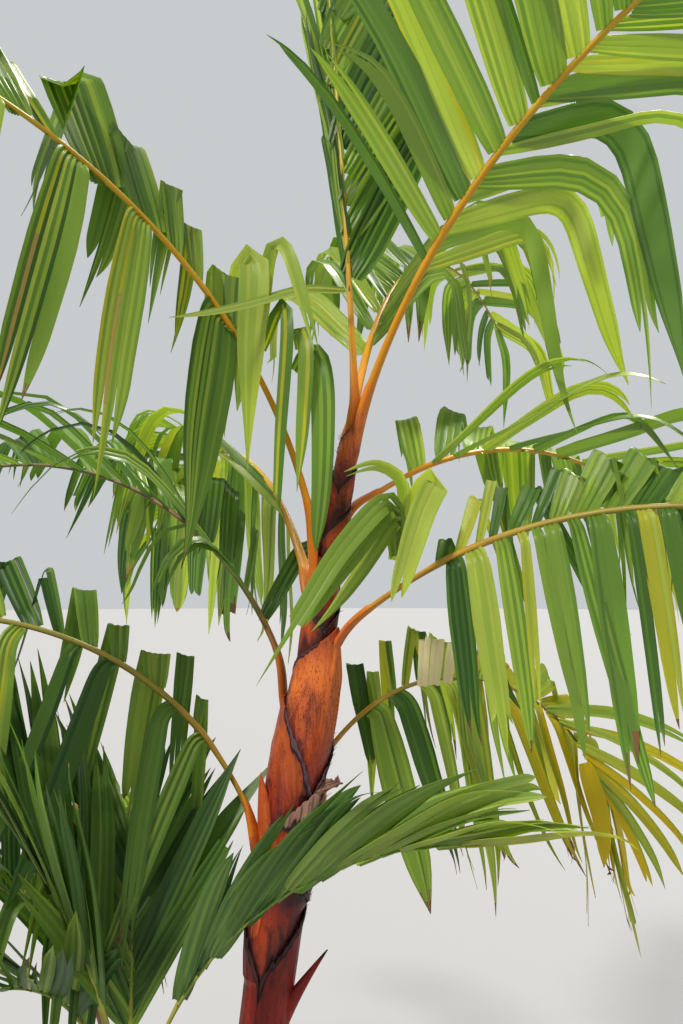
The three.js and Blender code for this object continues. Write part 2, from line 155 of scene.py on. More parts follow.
@dataclass
class Shell:
    """Vertices and faces of one mesh while it is put together, in millimetres."""

    points: list = field(default_factory=list)
    quads: list = field(default_factory=list)
    tris: list = field(default_factory=list)
    quad_slots: list = field(default_factory=list)
    tri_slots: list = field(default_factory=list)
    uvs: list = field(default_factory=list)
    marks: dict = field(default_factory=dict)
    count: int = 0

    def add(
        self, points: np.ndarray, quads: np.ndarray, slots: Number = 0, tris: np.ndarray = None,
        tri_slots: int = 0, uv: np.ndarray = None, **marks: Number,
    ) -> None:
        """Adds one closed body.

        Args:
            points: rows of points.
            quads: rows of four indices into points.
            slots: the material index of each quad, or one for all.
            tris: rows of three indices, if the body has any.
            tri_slots: the material index of each triangle, or one for all.
            uv: one pair for each point.
            **marks: named values, one for each point.
        """
        points = np.asarray(points, float).reshape(-1, 3)
        quads = np.asarray(quads, int).reshape(-1, 4)
        self.points.append(points)
        self.quads.append(quads + self.count)
        self.quad_slots.append(np.broadcast_to(slots, (len(quads),)))
        if tris is not None:
            tris = np.asarray(tris, int).reshape(-1, 3)
            self.tris.append(tris + self.count)
            self.tri_slots.append(np.broadcast_to(tri_slots, (len(tris),)))
        self.uvs.append(np.zeros((len(points), 2)) if uv is None else uv.reshape(-1, 2))
        for name, values in marks.items():
            self.marks.setdefault(name, []).append(np.broadcast_to(values, (len(points),)))
        self.count += len(points)

    def mesh(self, name: str, materials: list) -> Object:
        """Makes the Blender object, in metres, with its materials, UV map and marks.

        Args:
            name: the name of the piece.
            materials: what the material indices pick from.

        Returns:
            The new object, at the origin.
        """
        points = np.concatenate(self.points) * MM
        quads = np.concatenate(self.quads)
        tris = np.concatenate(self.tris) if self.tris else np.zeros((0, 3), int)
        corners = np.concatenate([quads.ravel(), tris.ravel()])
        totals = np.concatenate([np.full(len(quads), 4), np.full(len(tris), 3)])
        slots = np.concatenate(self.quad_slots + self.tri_slots)
        made = bpy.data.meshes.new(name)
        made.vertices.add(len(points))
        made.vertices.foreach_set("co", points.ravel())
        made.loops.add(len(corners))
        made.loops.foreach_set("vertex_index", corners)
        made.polygons.add(len(totals))
        made.polygons.foreach_set("loop_start", np.concatenate([[0], np.cumsum(totals)[:-1]]))
        made.polygons.foreach_set("material_index", slots)
        made.update(calc_edges=True)
        layer = made.uv_layers.new(name="UVMap")
        layer.uv.foreach_set("vector", (np.concatenate(self.uvs) * MM)[corners].ravel())
        for mark, values in self.marks.items():
            attribute = made.attributes.new(mark, "FLOAT", "POINT")
            attribute.data.foreach_set("value", np.concatenate(values).astype(np.float32))
        for material in materials:
            made.materials.append(material)
        made.validate()
        made.set_sharp_from_angle(angle=SHARP_EDGE)
        return add_object(name, made)


def tube_faces(rings: int, sides: int) -> np.ndarray:
    """Quads round a stack of closed rings that run counter-clockwise as seen from the end.

    Args:
        rings: how many rings.
        sides: how many points a ring has.

    Returns:
        Rows of four indices, with the faces pointing out.
    """
    i, j = np.meshgrid(np.arange(rings - 1), np.arange(sides), indexing="ij")
    k = (j + 1) % sides
    low, high = i * sides, (i + 1) * sides
    return np.stack([low + j, low + k, high + k, high + j], -1).reshape(-1, 4)


def cap_faces(rings: int, sides: int, foot: int, tip: int) -> np.ndarray:
    """Triangles that close a tube at both ends.

    Args:
        rings: how many rings the tube has.
        sides: how many points a ring has.
        foot: the index of the point in the middle of the first ring.
        tip: the index of the point in the middle of the last ring.

    Returns:
        Rows of three indices.
    """
    j = np.arange(sides)
    k = (j + 1) % sides
    last = (rings - 1) * sides
    low = np.stack([np.full(sides, foot), k, j], -1)
    high = np.stack([np.full(sides, tip), last + j, last + k], -1)
    return np.concatenate([low, high])


def add_tube(shell: Shell, rings: np.ndarray, slot: Number = 0, **marks: Number) -> None:
    """Adds a closed tube through rings of points.

    Args:
        shell: where it goes.
        rings: points as rings by sides by three.
        slot: its material index, or one for each quad.
        **marks: named values, as rings by sides or what spreads to that.
    """
    n, sides = rings.shape[:2]
    points = np.concatenate([rings.reshape(-1, 3), rings[0].mean(0)[None], rings[-1].mean(0)[None]])
    steps = np.linalg.norm(np.diff(rings.mean(1), axis=0), axis=-1)
    run = np.concatenate([[0], np.cumsum(steps)])
    girth = np.linalg.norm(rings[:, 1] - rings[:, 0], axis=-1).mean()
    uv = np.stack(np.broadcast_arrays(np.arange(sides)[None, :] * girth, run[:, None]), -1).reshape(-1, 2)
    uv = np.concatenate([uv, uv[:1], uv[-1:]])
    for name, values in marks.items():
        values = np.broadcast_to(values, (n, sides))
        marks[name] = np.concatenate([values.reshape(-1), [values[0].mean(), values[-1].mean()]])
    caps = cap_faces(n, sides, n * sides, n * sides + 1)
    shell.add(points, tube_faces(n, sides), slot, caps, np.max(slot), uv, **marks)


def sheet_faces(rows: int, columns: int, offset: int) -> np.ndarray:
    """Quads that close a thin sheet: its face, its back and its four edges.

    The face's points come first, as rows by columns, and the back's follow after offset points.
    Rows run forwards and columns sideways, and the face looks along forwards cross sideways.

    Args:
        rows: points along the sheet.
        columns: points across it.
        offset: how many points lie between a point and its back.

    Returns:
        Rows of four indices: the face's quads, the back's, then the edges'.
    """
    i, j = np.meshgrid(np.arange(rows - 1), np.arange(columns - 1), indexing="ij")
    a = (i * columns + j).ravel()
    face = np.stack([a, a + columns, a + columns + 1, a + 1], -1)
    back = face[:, ::-1] + offset
    s = np.arange(rows - 1) * columns
    low = np.stack([s, s + offset, s + columns + offset, s + columns], -1)
    e = s + columns - 1
    high = np.stack([e, e + columns, e + columns + offset, e + offset], -1)
    t = np.arange(columns - 1)
    near = np.stack([t, t + 1, t + 1 + offset, t + offset], -1)
    u = (rows - 1) * columns + t
    far = np.stack([u, u + offset, u + 1 + offset, u + 1], -1)
    return np.concatenate([face, back, low, high, near, far])


def add_sheet(
    shell: Shell, face: np.ndarray, back: np.ndarray, slots: Number = 0, uv: np.ndarray = None,
    **marks: Number,
) -> None:
    """Adds a thin sheet that is closed round its edges.

    Args:
        shell: where it goes.
        face: the points of its face as rows by columns by three, which looks along forwards cross sideways.
        back: the points of its back on the same grid.
        slots: the material index of each quad of sheet_faces, or one for all.
        uv: one pair for each point of the grid.
        **marks: named values on the grid, or what spreads to it.
    """
    rows, columns = face.shape[:2]
    points = np.concatenate([face.reshape(-1, 3), back.reshape(-1, 3)])
    quads = sheet_faces(rows, columns, rows * columns)
    for name, values in marks.items():
        marks[name] = np.tile(np.broadcast_to(values, (rows, columns)).ravel(), 2)
    shell.add(points, quads, slots, uv=None if uv is None else np.tile(uv.reshape(-1, 2), (2, 1)), **marks)


# Materials.


def linear(code: str) -> tuple:
    """The linear RGBA of an sRGB colour such as #C8501A."""
    parts = [int(code[i : i + 2], 16) / 255 for i in (1, 3, 5)]
    return (*[c / 12.92 if c <= 0.04045 else ((c + 0.055) / 1.055) ** 2.4 for c in parts], 1.0)


def add_node(tree: NodeTree, kind: str, links: dict = None, **settings: object) -> Node:
    """Adds a node with its settings and links.

    Args:
        tree: the node tree.
        kind: the node's type.
        links: what goes into its sockets, by name or number: an output socket, a node for the first of
            its outputs in use, or a plain value.
        **settings: its properties; stops are a colour ramp's places and sRGB colours.

    Returns:
        The node.
    """
    node = tree.nodes.new(kind)
    stops = settings.pop("stops", ())
    for key, value in settings.items():
        setattr(node, key, value)
    if stops:
        elements = node.color_ramp.elements
        while len(elements) < len(stops):
            elements.new(0.5)
        for element, (place, code) in zip(elements, stops):
            element.position = place
            element.color = linear(code)
    for key, value in (links or {}).items():
        if isinstance(value, Node):
            value = next(output for output in value.outputs if output.enabled)
        if isinstance(value, NodeSocket):
            tree.links.new(value, node.inputs[key])
        else:
            node.inputs[key].default_value = value
    return node


def new_material(name: str) -> tuple:
    """A new material whose node tree is empty.

    Args:
        name: its name.

    Returns:
        The material and its tree.
    """
    material = bpy.data.materials.new(name)
    material.use_nodes = True
    material.node_tree.nodes.clear()
    return material, material.node_tree


def band_scale(spacing_mm: float) -> float:
    """The Scale of a Wave texture whose bands repeat every spacing_mm."""
    return 2 * math.pi / (20 * spacing_mm * MM)


def noise_scale(grain_mm: float) -> float:
    """The Scale of a Noise texture whose blotches are about grain_mm across."""
    return 1 / (grain_mm * MM)


# What repeats along a path or over a surface, grown by Geometry Nodes.


def new_growth(name: str, sizes: dict) -> tuple:
    """Starts a Geometry Nodes tree with a named input for each size.

    Args:
        name: its name.
        sizes: the usual value of each input by its name; a whole number makes a whole-number input.

    Returns:
        The tree and its inputs' sockets by name.
    """
    tree = bpy.data.node_groups.new(name, "GeometryNodeTree")
    for side in ("OUTPUT", "INPUT"):
        tree.interface.new_socket("Geometry", in_out=side, socket_type="NodeSocketGeometry")
    for label, value in sizes.items():
        kind = "NodeSocketInt" if isinstance(value, int) else "NodeSocketFloat"
        tree.interface.new_socket(label, in_out="INPUT", socket_type=kind).default_value = value
    tree.interface.new_socket("Material", in_out="INPUT", socket_type="NodeSocketMaterial")
    return tree, {socket.name: socket for socket in add_node(tree, "NodeGroupInput").outputs}


def close_growth(tree: NodeTree, given: dict, grown: Node) -> None:
    """Ends a tree: its instances are made real and get their material.

    Args:
        tree: the tree.
        given: its inputs' sockets by name.
        grown: the node that gives the instances.
    """
    real = add_node(tree, "GeometryNodeRealizeInstances", {0: grown})
    dressed = add_node(tree, "GeometryNodeSetMaterial", {"Geometry": real, "Material": given["Material"]})
    add_node(tree, "NodeGroupOutput", {0: dressed})


def read_mark(tree: NodeTree, name: str, kind: str) -> Node:
    """The node that reads a named mark of the host, of kind FLOAT or FLOAT_VECTOR."""
    return add_node(tree, "GeometryNodeInputNamedAttribute", {"Name": name}, data_type=kind)


@dataclass
class Growth:
    """Something that repeats on a host, grown by a Geometry Nodes tree that is drawn once."""

    tree: NodeTree = field(default=None, init=False)

    def draw_tree(self) -> NodeTree:
        """The tree, which each kind of growth draws in its own way."""
        raise NotImplementedError

    def grow(self, name: str, host: Object, sizes: dict) -> Object:
        """Runs the tree on a host, and keeps what grows as a plain mesh in place of the host.

        Args:
            name: the name of the piece.
            host: the mesh that it grows on, which is removed.
            sizes: values for the tree's inputs by name.

        Returns:
            The piece, at the origin.
        """
        self.tree = self.tree or self.draw_tree()
        modifier = host.modifiers.new("growth", "NODES")
        modifier.node_group = self.tree
        for item in self.tree.interface.items_tree:
            if item.in_out == "INPUT" and item.name in sizes:
                modifier[item.identifier] = sizes[item.name]
        graph = bpy.context.evaluated_depsgraph_get()
        mesh = bpy.data.meshes.new_from_object(host.evaluated_get(graph), depsgraph=graph)
        host.modifiers.remove(modifier)
        bpy.data.objects.remove(host)
        mesh.name = name
        return add_object(name, mesh)


def line_host(name: str, points: np.ndarray, **marks: np.ndarray) -> Object:
    """A chain of edges for something to grow along.

    Args:
        name: its name.
        points: rows of points, in millimetres.
        **marks: one number or vector for each point.

    Returns:
        The object, at the origin.
    """
    mesh = bpy.data.meshes.new(name)
    mesh.from_pydata((points * MM).tolist(), [(i, i + 1) for i in range(len(points) - 1)], [])
    for mark, values in marks.items():
        vector = np.ndim(values) == 2
        attribute = mesh.attributes.new(mark, "FLOAT_VECTOR" if vector else "FLOAT", "POINT")
        attribute.data.foreach_set("vector" if vector else "value", np.asarray(values, np.float32).ravel())
    return add_object(name, mesh)


@dataclass
class ScarRings(Growth):
    """Raised rings round a stem where old leaves were, one every spacing along its axis."""

    spacing: float = 58.0
    relief: float = 0.045
    wobble: float = 0.05
    seed: int = 4

    def draw_tree(self) -> NodeTree:
        """The tree: a ring on each point of the axis, as wide as the mark reach says."""
        tree, given = new_growth("scar_rings", {
            "Spacing": self.spacing * MM, "Relief": self.relief, "Wobble": self.wobble, "Seed": self.seed,
        })
        axis = add_node(tree, "GeometryNodeMeshToCurve", {"Mesh": given["Geometry"]})
        steps = add_node(
            tree, "GeometryNodeResampleCurve", {"Curve": axis, "Length": given["Spacing"]}, mode="LENGTH"
        )
        circle = add_node(tree, "GeometryNodeCurvePrimitiveCircle", {"Resolution": 48, "Radius": 1.0})
        profile = add_node(
            tree, "GeometryNodeCurvePrimitiveCircle", {"Resolution": 6, "Radius": given["Relief"]}
        )
        ring = add_node(tree, "GeometryNodeCurveToMesh", {"Curve": circle, "Profile Curve": profile})
        low = add_node(tree, "ShaderNodeMath", {0: given["Wobble"], 1: -1.0}, operation="MULTIPLY")
        tilt = add_node(
            tree, "FunctionNodeRandomValue",
            {0: low, 1: given["Wobble"], "Seed": given["Seed"]}, data_type="FLOAT_VECTOR",
        )
        placed = add_node(
            tree, "GeometryNodeInstanceOnPoints",
            {"Points": steps, "Instance": ring, "Rotation": tilt,
             "Scale": read_mark(tree, "reach", "FLOAT")},
        )
        close_growth(tree, given, placed)
        return tree

    def build(self, name: str, axis: np.ndarray, reach: np.ndarray, material: Material) -> Object:
        """Makes the rings of one stem.

        Args:
            name: the name of the piece.
            axis: points of the stem's axis, in millimetres.
            reach: the stem's radius at each of them.
            material: the rings' finish.

        Returns:
            The piece.
        """
        host = line_host(name + "_axis", axis, reach=reach * MM)
        return self.grow(name, host, {"Spacing": self.spacing * MM, "Material": material})


@dataclass
class MarginFibres(Growth):
    """Short stiff fibres that stand along the dried margin of a sheath."""

    spacing: float = 2.6
    length: float = 8.0
    thickness: float = 0.45

    def draw_tree(self) -> NodeTree:
        """The tree: a thin four-sided spike on each step of the rim, leaning as the mark out says."""
        tree, given = new_growth("margin_fibres", {
            "Spacing": self.spacing * MM, "Length": self.length * MM, "Thickness": self.thickness * MM,
            "Seed": 1,
        })
        rim = add_node(tree, "GeometryNodeMeshToCurve", {"Mesh": given["Geometry"]})
        steps = add_node(
            tree, "GeometryNodeResampleCurve", {"Curve": rim, "Length": given["Spacing"]}, mode="LENGTH"
        )
        spike = add_node(
            tree, "GeometryNodeMeshCone",
            {"Vertices": 4, "Radius Top": 0.0001, "Radius Bottom": given["Thickness"],
             "Depth": given["Length"]},
        )
        stray = add_node(
            tree, "FunctionNodeRandomValue",
            {0: (-0.8, -0.8, -0.6), 1: (0.8, 0.8, 0.6), "Seed": given["Seed"]}, data_type="FLOAT_VECTOR",
        )
        lean = add_node(
            tree, "ShaderNodeVectorMath",
            {0: read_mark(tree, "out", "FLOAT_VECTOR"), 1: stray}, operation="ADD",
        )
        turned = add_node(tree, "FunctionNodeAlignRotationToVector", {"Vector": lean}, axis="Z")
        size = add_node(
            tree, "FunctionNodeRandomValue", {2: 0.3, 3: 1.5, "Seed": given["Seed"]}, data_type="FLOAT"
        )
        placed = add_node(
            tree, "GeometryNodeInstanceOnPoints",
            {"Points": steps, "Instance": spike, "Rotation": turned, "Scale": size},
        )
        close_growth(tree, given, placed)
        return tree


@dataclass
class ScurfFlecks(Growth):
    """Small dark scales that lie in drifts on a living sheath, longer than wide."""

    density: float = 30000.0
    breadth: float = 0.62
    height: float = 1.5
    relief: float = 0.3
    drift: float = 42.0

    def draw_tree(self) -> NodeTree:
        """The tree: a low six-sided scale on each point strewn over the host, in upright drifts."""
        tree, given = new_growth("scurf_flecks", {
            "Density": self.density, "Breadth": self.breadth * MM, "Height": self.height * MM,
            "Relief": self.relief * MM, "Seed": 1,
        })
        place = add_node(tree, "GeometryNodeInputPosition")
        tall = add_node(tree, "ShaderNodeVectorMath", {0: place, 1: (1.0, 1.0, 0.4)}, operation="MULTIPLY")
        clouds = add_node(
            tree, "ShaderNodeTexNoise",
            {"Vector": tall, "Scale": noise_scale(self.drift), "Detail": 3.0, "Roughness": 0.6},
        )
        drifts = add_node(
            tree, "ShaderNodeMapRange", {"Value": clouds, "From Min": 0.42, "From Max": 0.7, "To Min": 0.04}
        )
        thick = add_node(tree, "ShaderNodeMath", {0: given["Density"], 1: drifts}, operation="MULTIPLY")
        strewn = add_node(
            tree, "GeometryNodeDistributePointsOnFaces",
            {"Mesh": given["Geometry"], "Density": thick, "Seed": given["Seed"]},
        )
        scale = add_node(
            tree, "GeometryNodeMeshCone",
            {"Vertices": 6, "Radius Top": 0.45, "Radius Bottom": 1.0, "Depth": 1.0},
        )
        upright = add_node(
            tree, "FunctionNodeAlignRotationToVector",
            {"Rotation": strewn.outputs["Rotation"], "Vector": (0.0, 0.0, 1.0)}, axis="Y", pivot_axis="Z",
        )
        full = add_node(
            tree, "ShaderNodeCombineXYZ",
            {"X": given["Breadth"], "Y": given["Height"], "Z": given["Relief"]},
        )
        draw = add_node(
            tree, "FunctionNodeRandomValue",
            {0: (0.35, 0.25, 0.6), 1: (1.3, 1.7, 1.2), "Seed": given["Seed"]}, data_type="FLOAT_VECTOR",
        )
        size = add_node(tree, "ShaderNodeVectorMath", {0: full, 1: draw}, operation="MULTIPLY")
        placed = add_node(
            tree, "GeometryNodeInstanceOnPoints",
            {"Points": strewn, "Instance": scale, "Rotation": upright, "Scale": size},
        )
        close_growth(tree, given, placed)
        return tree


# Finishes.


def veil(tree: NodeTree, below: Node, colour: str, value: Node, span: tuple, **settings: object) -> tuple:
    """Lays a colour over another one, wherever a value runs high.

    Args:
        tree: the node tree.
        below: the node of the colour beneath.
        colour: the upper colour in sRGB.
        value: the node of the value.
        span: the value at which the colour starts, the value at which it is full, and its share there.
        **settings: how the share rises between them.

    Returns:
        The node of both colours, and the node of the upper one's share.
    """
    start, full, most = span
    share = add_node(
        tree, "ShaderNodeMapRange",
        {"Value": value, "From Min": start, "From Max": full, "To Max": most}, **settings,
    )
    both = add_node(tree, "ShaderNodeMix", {0: share, 6: below, 7: linear(colour)}, data_type="RGBA")
    return both, share


def strew(tree: NodeTree, below: Node, colour: str, place: object, grain: dict, span: tuple) -> tuple:
    """Lays blotches of a colour over another one, wherever a noise runs high.

    Args:
        tree: the node tree.
        below: the node of the colour beneath.
        colour: the blotches' sRGB colour.
        place: the node or socket that says where the noise is read.
        grain: the Noise texture's other inputs.
        span: the noise at which a blotch starts, the noise at which it is full, and its share there.

    Returns:
        The node of both colours, and the Noise texture.
    """
    noise = add_node(tree, "ShaderNodeTexNoise", {"Vector": place, **grain})
    return veil(tree, below, colour, noise, span)[0], noise


@dataclass(frozen=True)
class LeafFinish:
    """Living leaf blade: thin waxed tissue with fine parallel veins, satin, lit through from behind.

    The base colours are plain, dealt out by leaflet; the veins show as fine ribs in the surface.
    """

    name: str
    colour: str
    glow: str
    through: float = 0.42
    roughness: float = 0.34
    vein_mm: float = 2.6

    def build(self) -> Material:
        """Makes the material of one side of a blade.

        Returns:
            The material.
        """
        material, tree = new_material("leaf_" + self.name)
        place = add_node(tree, "ShaderNodeUVMap", uv_map="UVMap")
        # Real veins are about 1.2 mm apart; drawn wider, so that they show at this distance.
        veins = add_node(
            tree, "ShaderNodeTexWave",
            {"Vector": place, "Scale": band_scale(self.vein_mm), "Distortion": 0.6, "Detail": 1.0,
             "Detail Scale": 0.6}, bands_direction="X",
        )
        relief = add_node(
            tree, "ShaderNodeBump",
            {"Strength": 0.35, "Distance": 0.25 * MM, "Height": veins.outputs["Fac"]},
        )
        blade = add_node(
            tree, "ShaderNodeBsdfPrincipled",
            {"Base Color": linear(self.colour), "Roughness": self.roughness, "IOR": 1.36, "Normal": relief},
        )
        light = add_node(tree, "ShaderNodeBsdfTranslucent", {"Color": linear(self.glow)})
        mix = add_node(tree, "ShaderNodeMixShader", {0: self.through, 1: blade, 2: light})
        add_node(tree, "ShaderNodeOutputMaterial", {"Surface": mix})
        return material


@dataclass(frozen=True)
class DryFinish:
    """Dead leaf tissue: sun-dried, papery and matt, with a coarse fibrous grain."""

    name: str
    colour: str
    roughness: float = 0.78
    fibre_mm: float = 3.0

    def build(self) -> Material:
        """Makes the material.

        Returns:
            The material.
        """
        material, tree = new_material("dry_" + self.name)
        place = add_node(tree, "ShaderNodeTexCoord").outputs["Object"]
        fibre = add_node(
            tree, "ShaderNodeTexNoise",
            {"Vector": place, "Scale": noise_scale(self.fibre_mm), "Detail": 3.0},
        )
        relief = add_node(tree, "ShaderNodeBump", {"Strength": 0.5, "Distance": 0.5 * MM, "Height": fibre})
        blade = add_node(
            tree, "ShaderNodeBsdfPrincipled",
            {"Base Color": linear(self.colour), "Roughness": self.roughness, "Normal": relief},
        )
        add_node(tree, "ShaderNodeOutputMaterial", {"Surface": blade})
        return material


@dataclass(frozen=True)
class StalkFinish:
    """Living frond stalk: smooth waxed rind, orange at its foot and yellow-green at its tip.

    Fine lengthwise streaks and a few dark scurf flecks break the colour, and its underside is darkened a
    little as painted shade.
    """

    name: str
    stops: tuple
    streak: str
    scurf: str = "#3A2418"
    roughness: float = 0.42
    streak_mm: float = 3.5
    fleck_mm: float = 5.0

    def build(self) -> Material:
        """Makes the material.

        Returns:
            The material, which reads the marks along and under that the stalk carries; under sets where its
            colour is darkened as painted shade.
        """
        material, tree = new_material("stalk_" + self.name)
        along = add_node(tree, "ShaderNodeAttribute", attribute_name="along").outputs["Fac"]
        under = add_node(tree, "ShaderNodeAttribute", attribute_name="under").outputs["Fac"]
        place = add_node(tree, "ShaderNodeUVMap", uv_map="UVMap")
        base = add_node(tree, "ShaderNodeValToRGB", {"Fac": along}, stops=self.stops)
        stretched = add_node(tree, "ShaderNodeMapping", {"Vector": place, "Scale": (1.0, 0.06, 1.0)})
        grain = {"Scale": noise_scale(self.streak_mm), "Detail": 3.0}
        streaked, streaks = strew(tree, base, self.streak, stretched, grain, (0.45, 0.75, 0.75))
        grain = {"Scale": noise_scale(self.fleck_mm), "Detail": 4.0, "Roughness": 0.7}
        worn, _ = strew(tree, streaked, self.scurf, place, grain, (0.63, 0.7, 0.85))
        # Painted shade: the underside of the stalk is darkened to nine tenths of its colour.
        shade = add_node(tree, "ShaderNodeMapRange", {"Value": under, "To Min": 1.0, "To Max": 0.9})
        painted_under_shade = add_node(
            tree, "ShaderNodeMix", {0: 1.0, 6: worn, 7: shade}, data_type="RGBA", blend_type="MULTIPLY"
        )
        relief = add_node(
            tree, "ShaderNodeBump", {"Strength": 0.35, "Distance": 0.6 * MM, "Height": streaks}
        )
        rind = add_node(
            tree, "ShaderNodeBsdfPrincipled",
            {"Base Color": painted_under_shade, "Roughness": self.roughness, "IOR": 1.38, "Normal": relief},
        )
        add_node(tree, "ShaderNodeOutputMaterial", {"Surface": rind})
        return material


@dataclass(frozen=True)
class SheathFinish:
    """Leaf sheath of a crownshaft: tough waxed hide, smooth and satin, that dries dark from its edges.

    Colour runs from foot to mouth; red blotches, fine lengthwise lines, small black flecks, dark smudges
    and a dark dried margin lie over it. The smudges thicken just above the rims of older sheaths, partly
    as dark scurf and partly as painted shadow.
    """

    name: str
    stops: tuple
    blotch: str
    margin: str
    husk: str
    line: str
    smudge_and_shadow: str
    flecks: float = 0.62
    roughness: float = 0.38
    blotch_mm: float = 46.0
    line_mm: float = 2.4
    fleck_mm: float = 3.2

    def build(self) -> Material:
        """Makes the material.

        Returns:
            The material, which reads the marks climb and edge, and the mark of the darkening above older
            rims, partly dark scurf and partly painted shadow, that the sheath carries.
        """
        material, tree = new_material("sheath_" + self.name)
        climb, edge, soot = (
            add_node(tree, "ShaderNodeAttribute", attribute_name=mark).outputs["Fac"]
            for mark in ("climb", "edge", "soot")
        )
        place = add_node(tree, "ShaderNodeTexCoord").outputs["Object"]
        tall = add_node(tree, "ShaderNodeMapping", {"Vector": place, "Scale": (1.0, 1.0, 0.28)})
        clouds = add_node(
            tree, "ShaderNodeTexNoise",
            {"Vector": tall, "Scale": noise_scale(self.blotch_mm), "Detail": 5.0, "Roughness": 0.62,
             "Distortion": 0.4},
        )
        wander = add_node(tree, "ShaderNodeMath", {0: clouds, 1: 0.24, 2: -0.12}, operation="MULTIPLY_ADD")
        height = add_node(tree, "ShaderNodeMath", {0: climb, 1: wander}, operation="ADD")
        base = add_node(tree, "ShaderNodeValToRGB", {"Fac": height}, stops=self.stops)
        blotched, _ = veil(tree, base, self.blotch, clouds, (0.47, 0.72, 0.8))
        thin = add_node(tree, "ShaderNodeMapping", {"Vector": place, "Scale": (1.0, 1.0, 0.03)})
        fine = {"Scale": noise_scale(self.line_mm), "Detail": 2.0}
        lined, lines = strew(tree, blotched, self.line, thin, fine, (0.52, 0.75, 0.5))
        grain = add_node(tree, "ShaderNodeMapping", {"Vector": place, "Scale": (1.0, 1.0, 0.45)})
        fine = {"Scale": noise_scale(self.fleck_mm), "Detail": 5.0, "Roughness": 0.75}
        span = (self.flecks, self.flecks + 0.05, 0.8)
        flecked, scurf = strew(tree, lined, self.margin, grain, fine, span)
        worn = add_node(
            tree, "ShaderNodeTexNoise",
            {"Vector": tall, "Scale": noise_scale(self.blotch_mm * 0.45), "Detail": 7.0,
             "Roughness": 0.68, "Distortion": 0.8},
        )
        # Smudges: noise, raised where the sheath is darkened above an older rim, which is partly dark scurf
        # and partly painted shadow.
        smudges_scurf_and_shadow = add_node(tree, "ShaderNodeMath", {0: soot, 1: 0.3, 2: worn}, operation="MULTIPLY_ADD")
        smudged_and_shaded, _ = veil(tree, flecked, self.smudge_and_shadow, smudges_scurf_and_shadow, (0.52, 0.72, 0.86))
        frayed = add_node(tree, "ShaderNodeMath", {0: clouds, 1: 0.9, 2: edge}, operation="MULTIPLY_ADD")
        # The margin dries dark first, and turns papery where it has dried for longest.
        easing = {"interpolation_type": "SMOOTHSTEP"}
        dark, dried = veil(tree, smudged_and_shaded, self.margin, frayed, (0.76, 0.92, 1.0), **easing)
        papery, _ = veil(tree, dark, self.husk, frayed, (0.96, 1.12, 1.0), **easing)
        gloss = add_node(
            tree, "ShaderNodeMapRange", {"Value": dried, "To Min": self.roughness, "To Max": 0.8}
        )
        depth = add_node(tree, "ShaderNodeMath", {0: scurf, 1: 0.5, 2: lines}, operation="MULTIPLY_ADD")
        relief = add_node(tree, "ShaderNodeBump", {"Strength": 0.4, "Distance": 0.5 * MM, "Height": depth})
        hide = add_node(
            tree, "ShaderNodeBsdfPrincipled",
            {"Base Color": papery, "Roughness": gloss, "IOR": 1.36, "Normal": relief},
        )
        add_node(tree, "ShaderNodeOutputMaterial", {"Surface": hide})
        return material


@dataclass(frozen=True)
class BarkFinish:
    """Young palm stem: smooth green-brown bark with pale rings where old leaves were, dusty and matt."""

    name: str
    green: str
    brown: str
    lichen: str
    ring: str
    crack: str = "#2B2119"
    patch_mm: float = 38.0
    crack_mm: float = 3.0

    def build(self) -> Material:
        """Makes the material.

        Returns:
            The material, which reads the mark scar that is 1 on a ring.
        """
        material, tree = new_material("bark_" + self.name)
        scar = add_node(tree, "ShaderNodeAttribute", attribute_name="scar").outputs["Fac"]
        place = add_node(tree, "ShaderNodeTexCoord").outputs["Object"]
        patches = add_node(
            tree, "ShaderNodeTexNoise",
            {"Vector": place, "Scale": noise_scale(self.patch_mm), "Detail": 6.0, "Roughness": 0.65},
        )
        stops = ((0.34, self.green), (0.5, self.brown), (0.6, self.brown), (0.72, self.lichen))
        base = add_node(tree, "ShaderNodeValToRGB", {"Fac": patches}, stops=stops)
        ringed = add_node(tree, "ShaderNodeMix", {0: scar, 6: base, 7: linear(self.ring)}, data_type="RGBA")
        tall = add_node(tree, "ShaderNodeMapping", {"Vector": place, "Scale": (1.0, 1.0, 0.12)})
        grain = {"Scale": noise_scale(self.crack_mm), "Detail": 4.0}
        split, cracks = strew(tree, ringed, self.crack, tall, grain, (0.58, 0.7, 0.7))
        relief = add_node(tree, "ShaderNodeBump", {"Strength": 0.6, "Distance": 1.0 * MM, "Height": cracks})
        bark = add_node(
            tree, "ShaderNodeBsdfPrincipled", {"Base Color": split, "Roughness": 0.82, "Normal": relief}
        )
        add_node(tree, "ShaderNodeOutputMaterial", {"Surface": bark})
        return material


@dataclass(frozen=True)
class FloorFinish:
    """Studio floor: plain matt painted board, pale warm grey."""

    colour: str = "#8A8B8D"

    def build(self) -> Material:
        """Makes the material.

        Returns:
            The material.
        """
        material, tree = new_material("floor_board")
        board = add_node(
            tree, "ShaderNodeBsdfPrincipled", {"Base Color": linear(self.colour), "Roughness": 0.9}
        )
        add_node(tree, "ShaderNodeOutputMaterial", {"Surface": board})
        return material


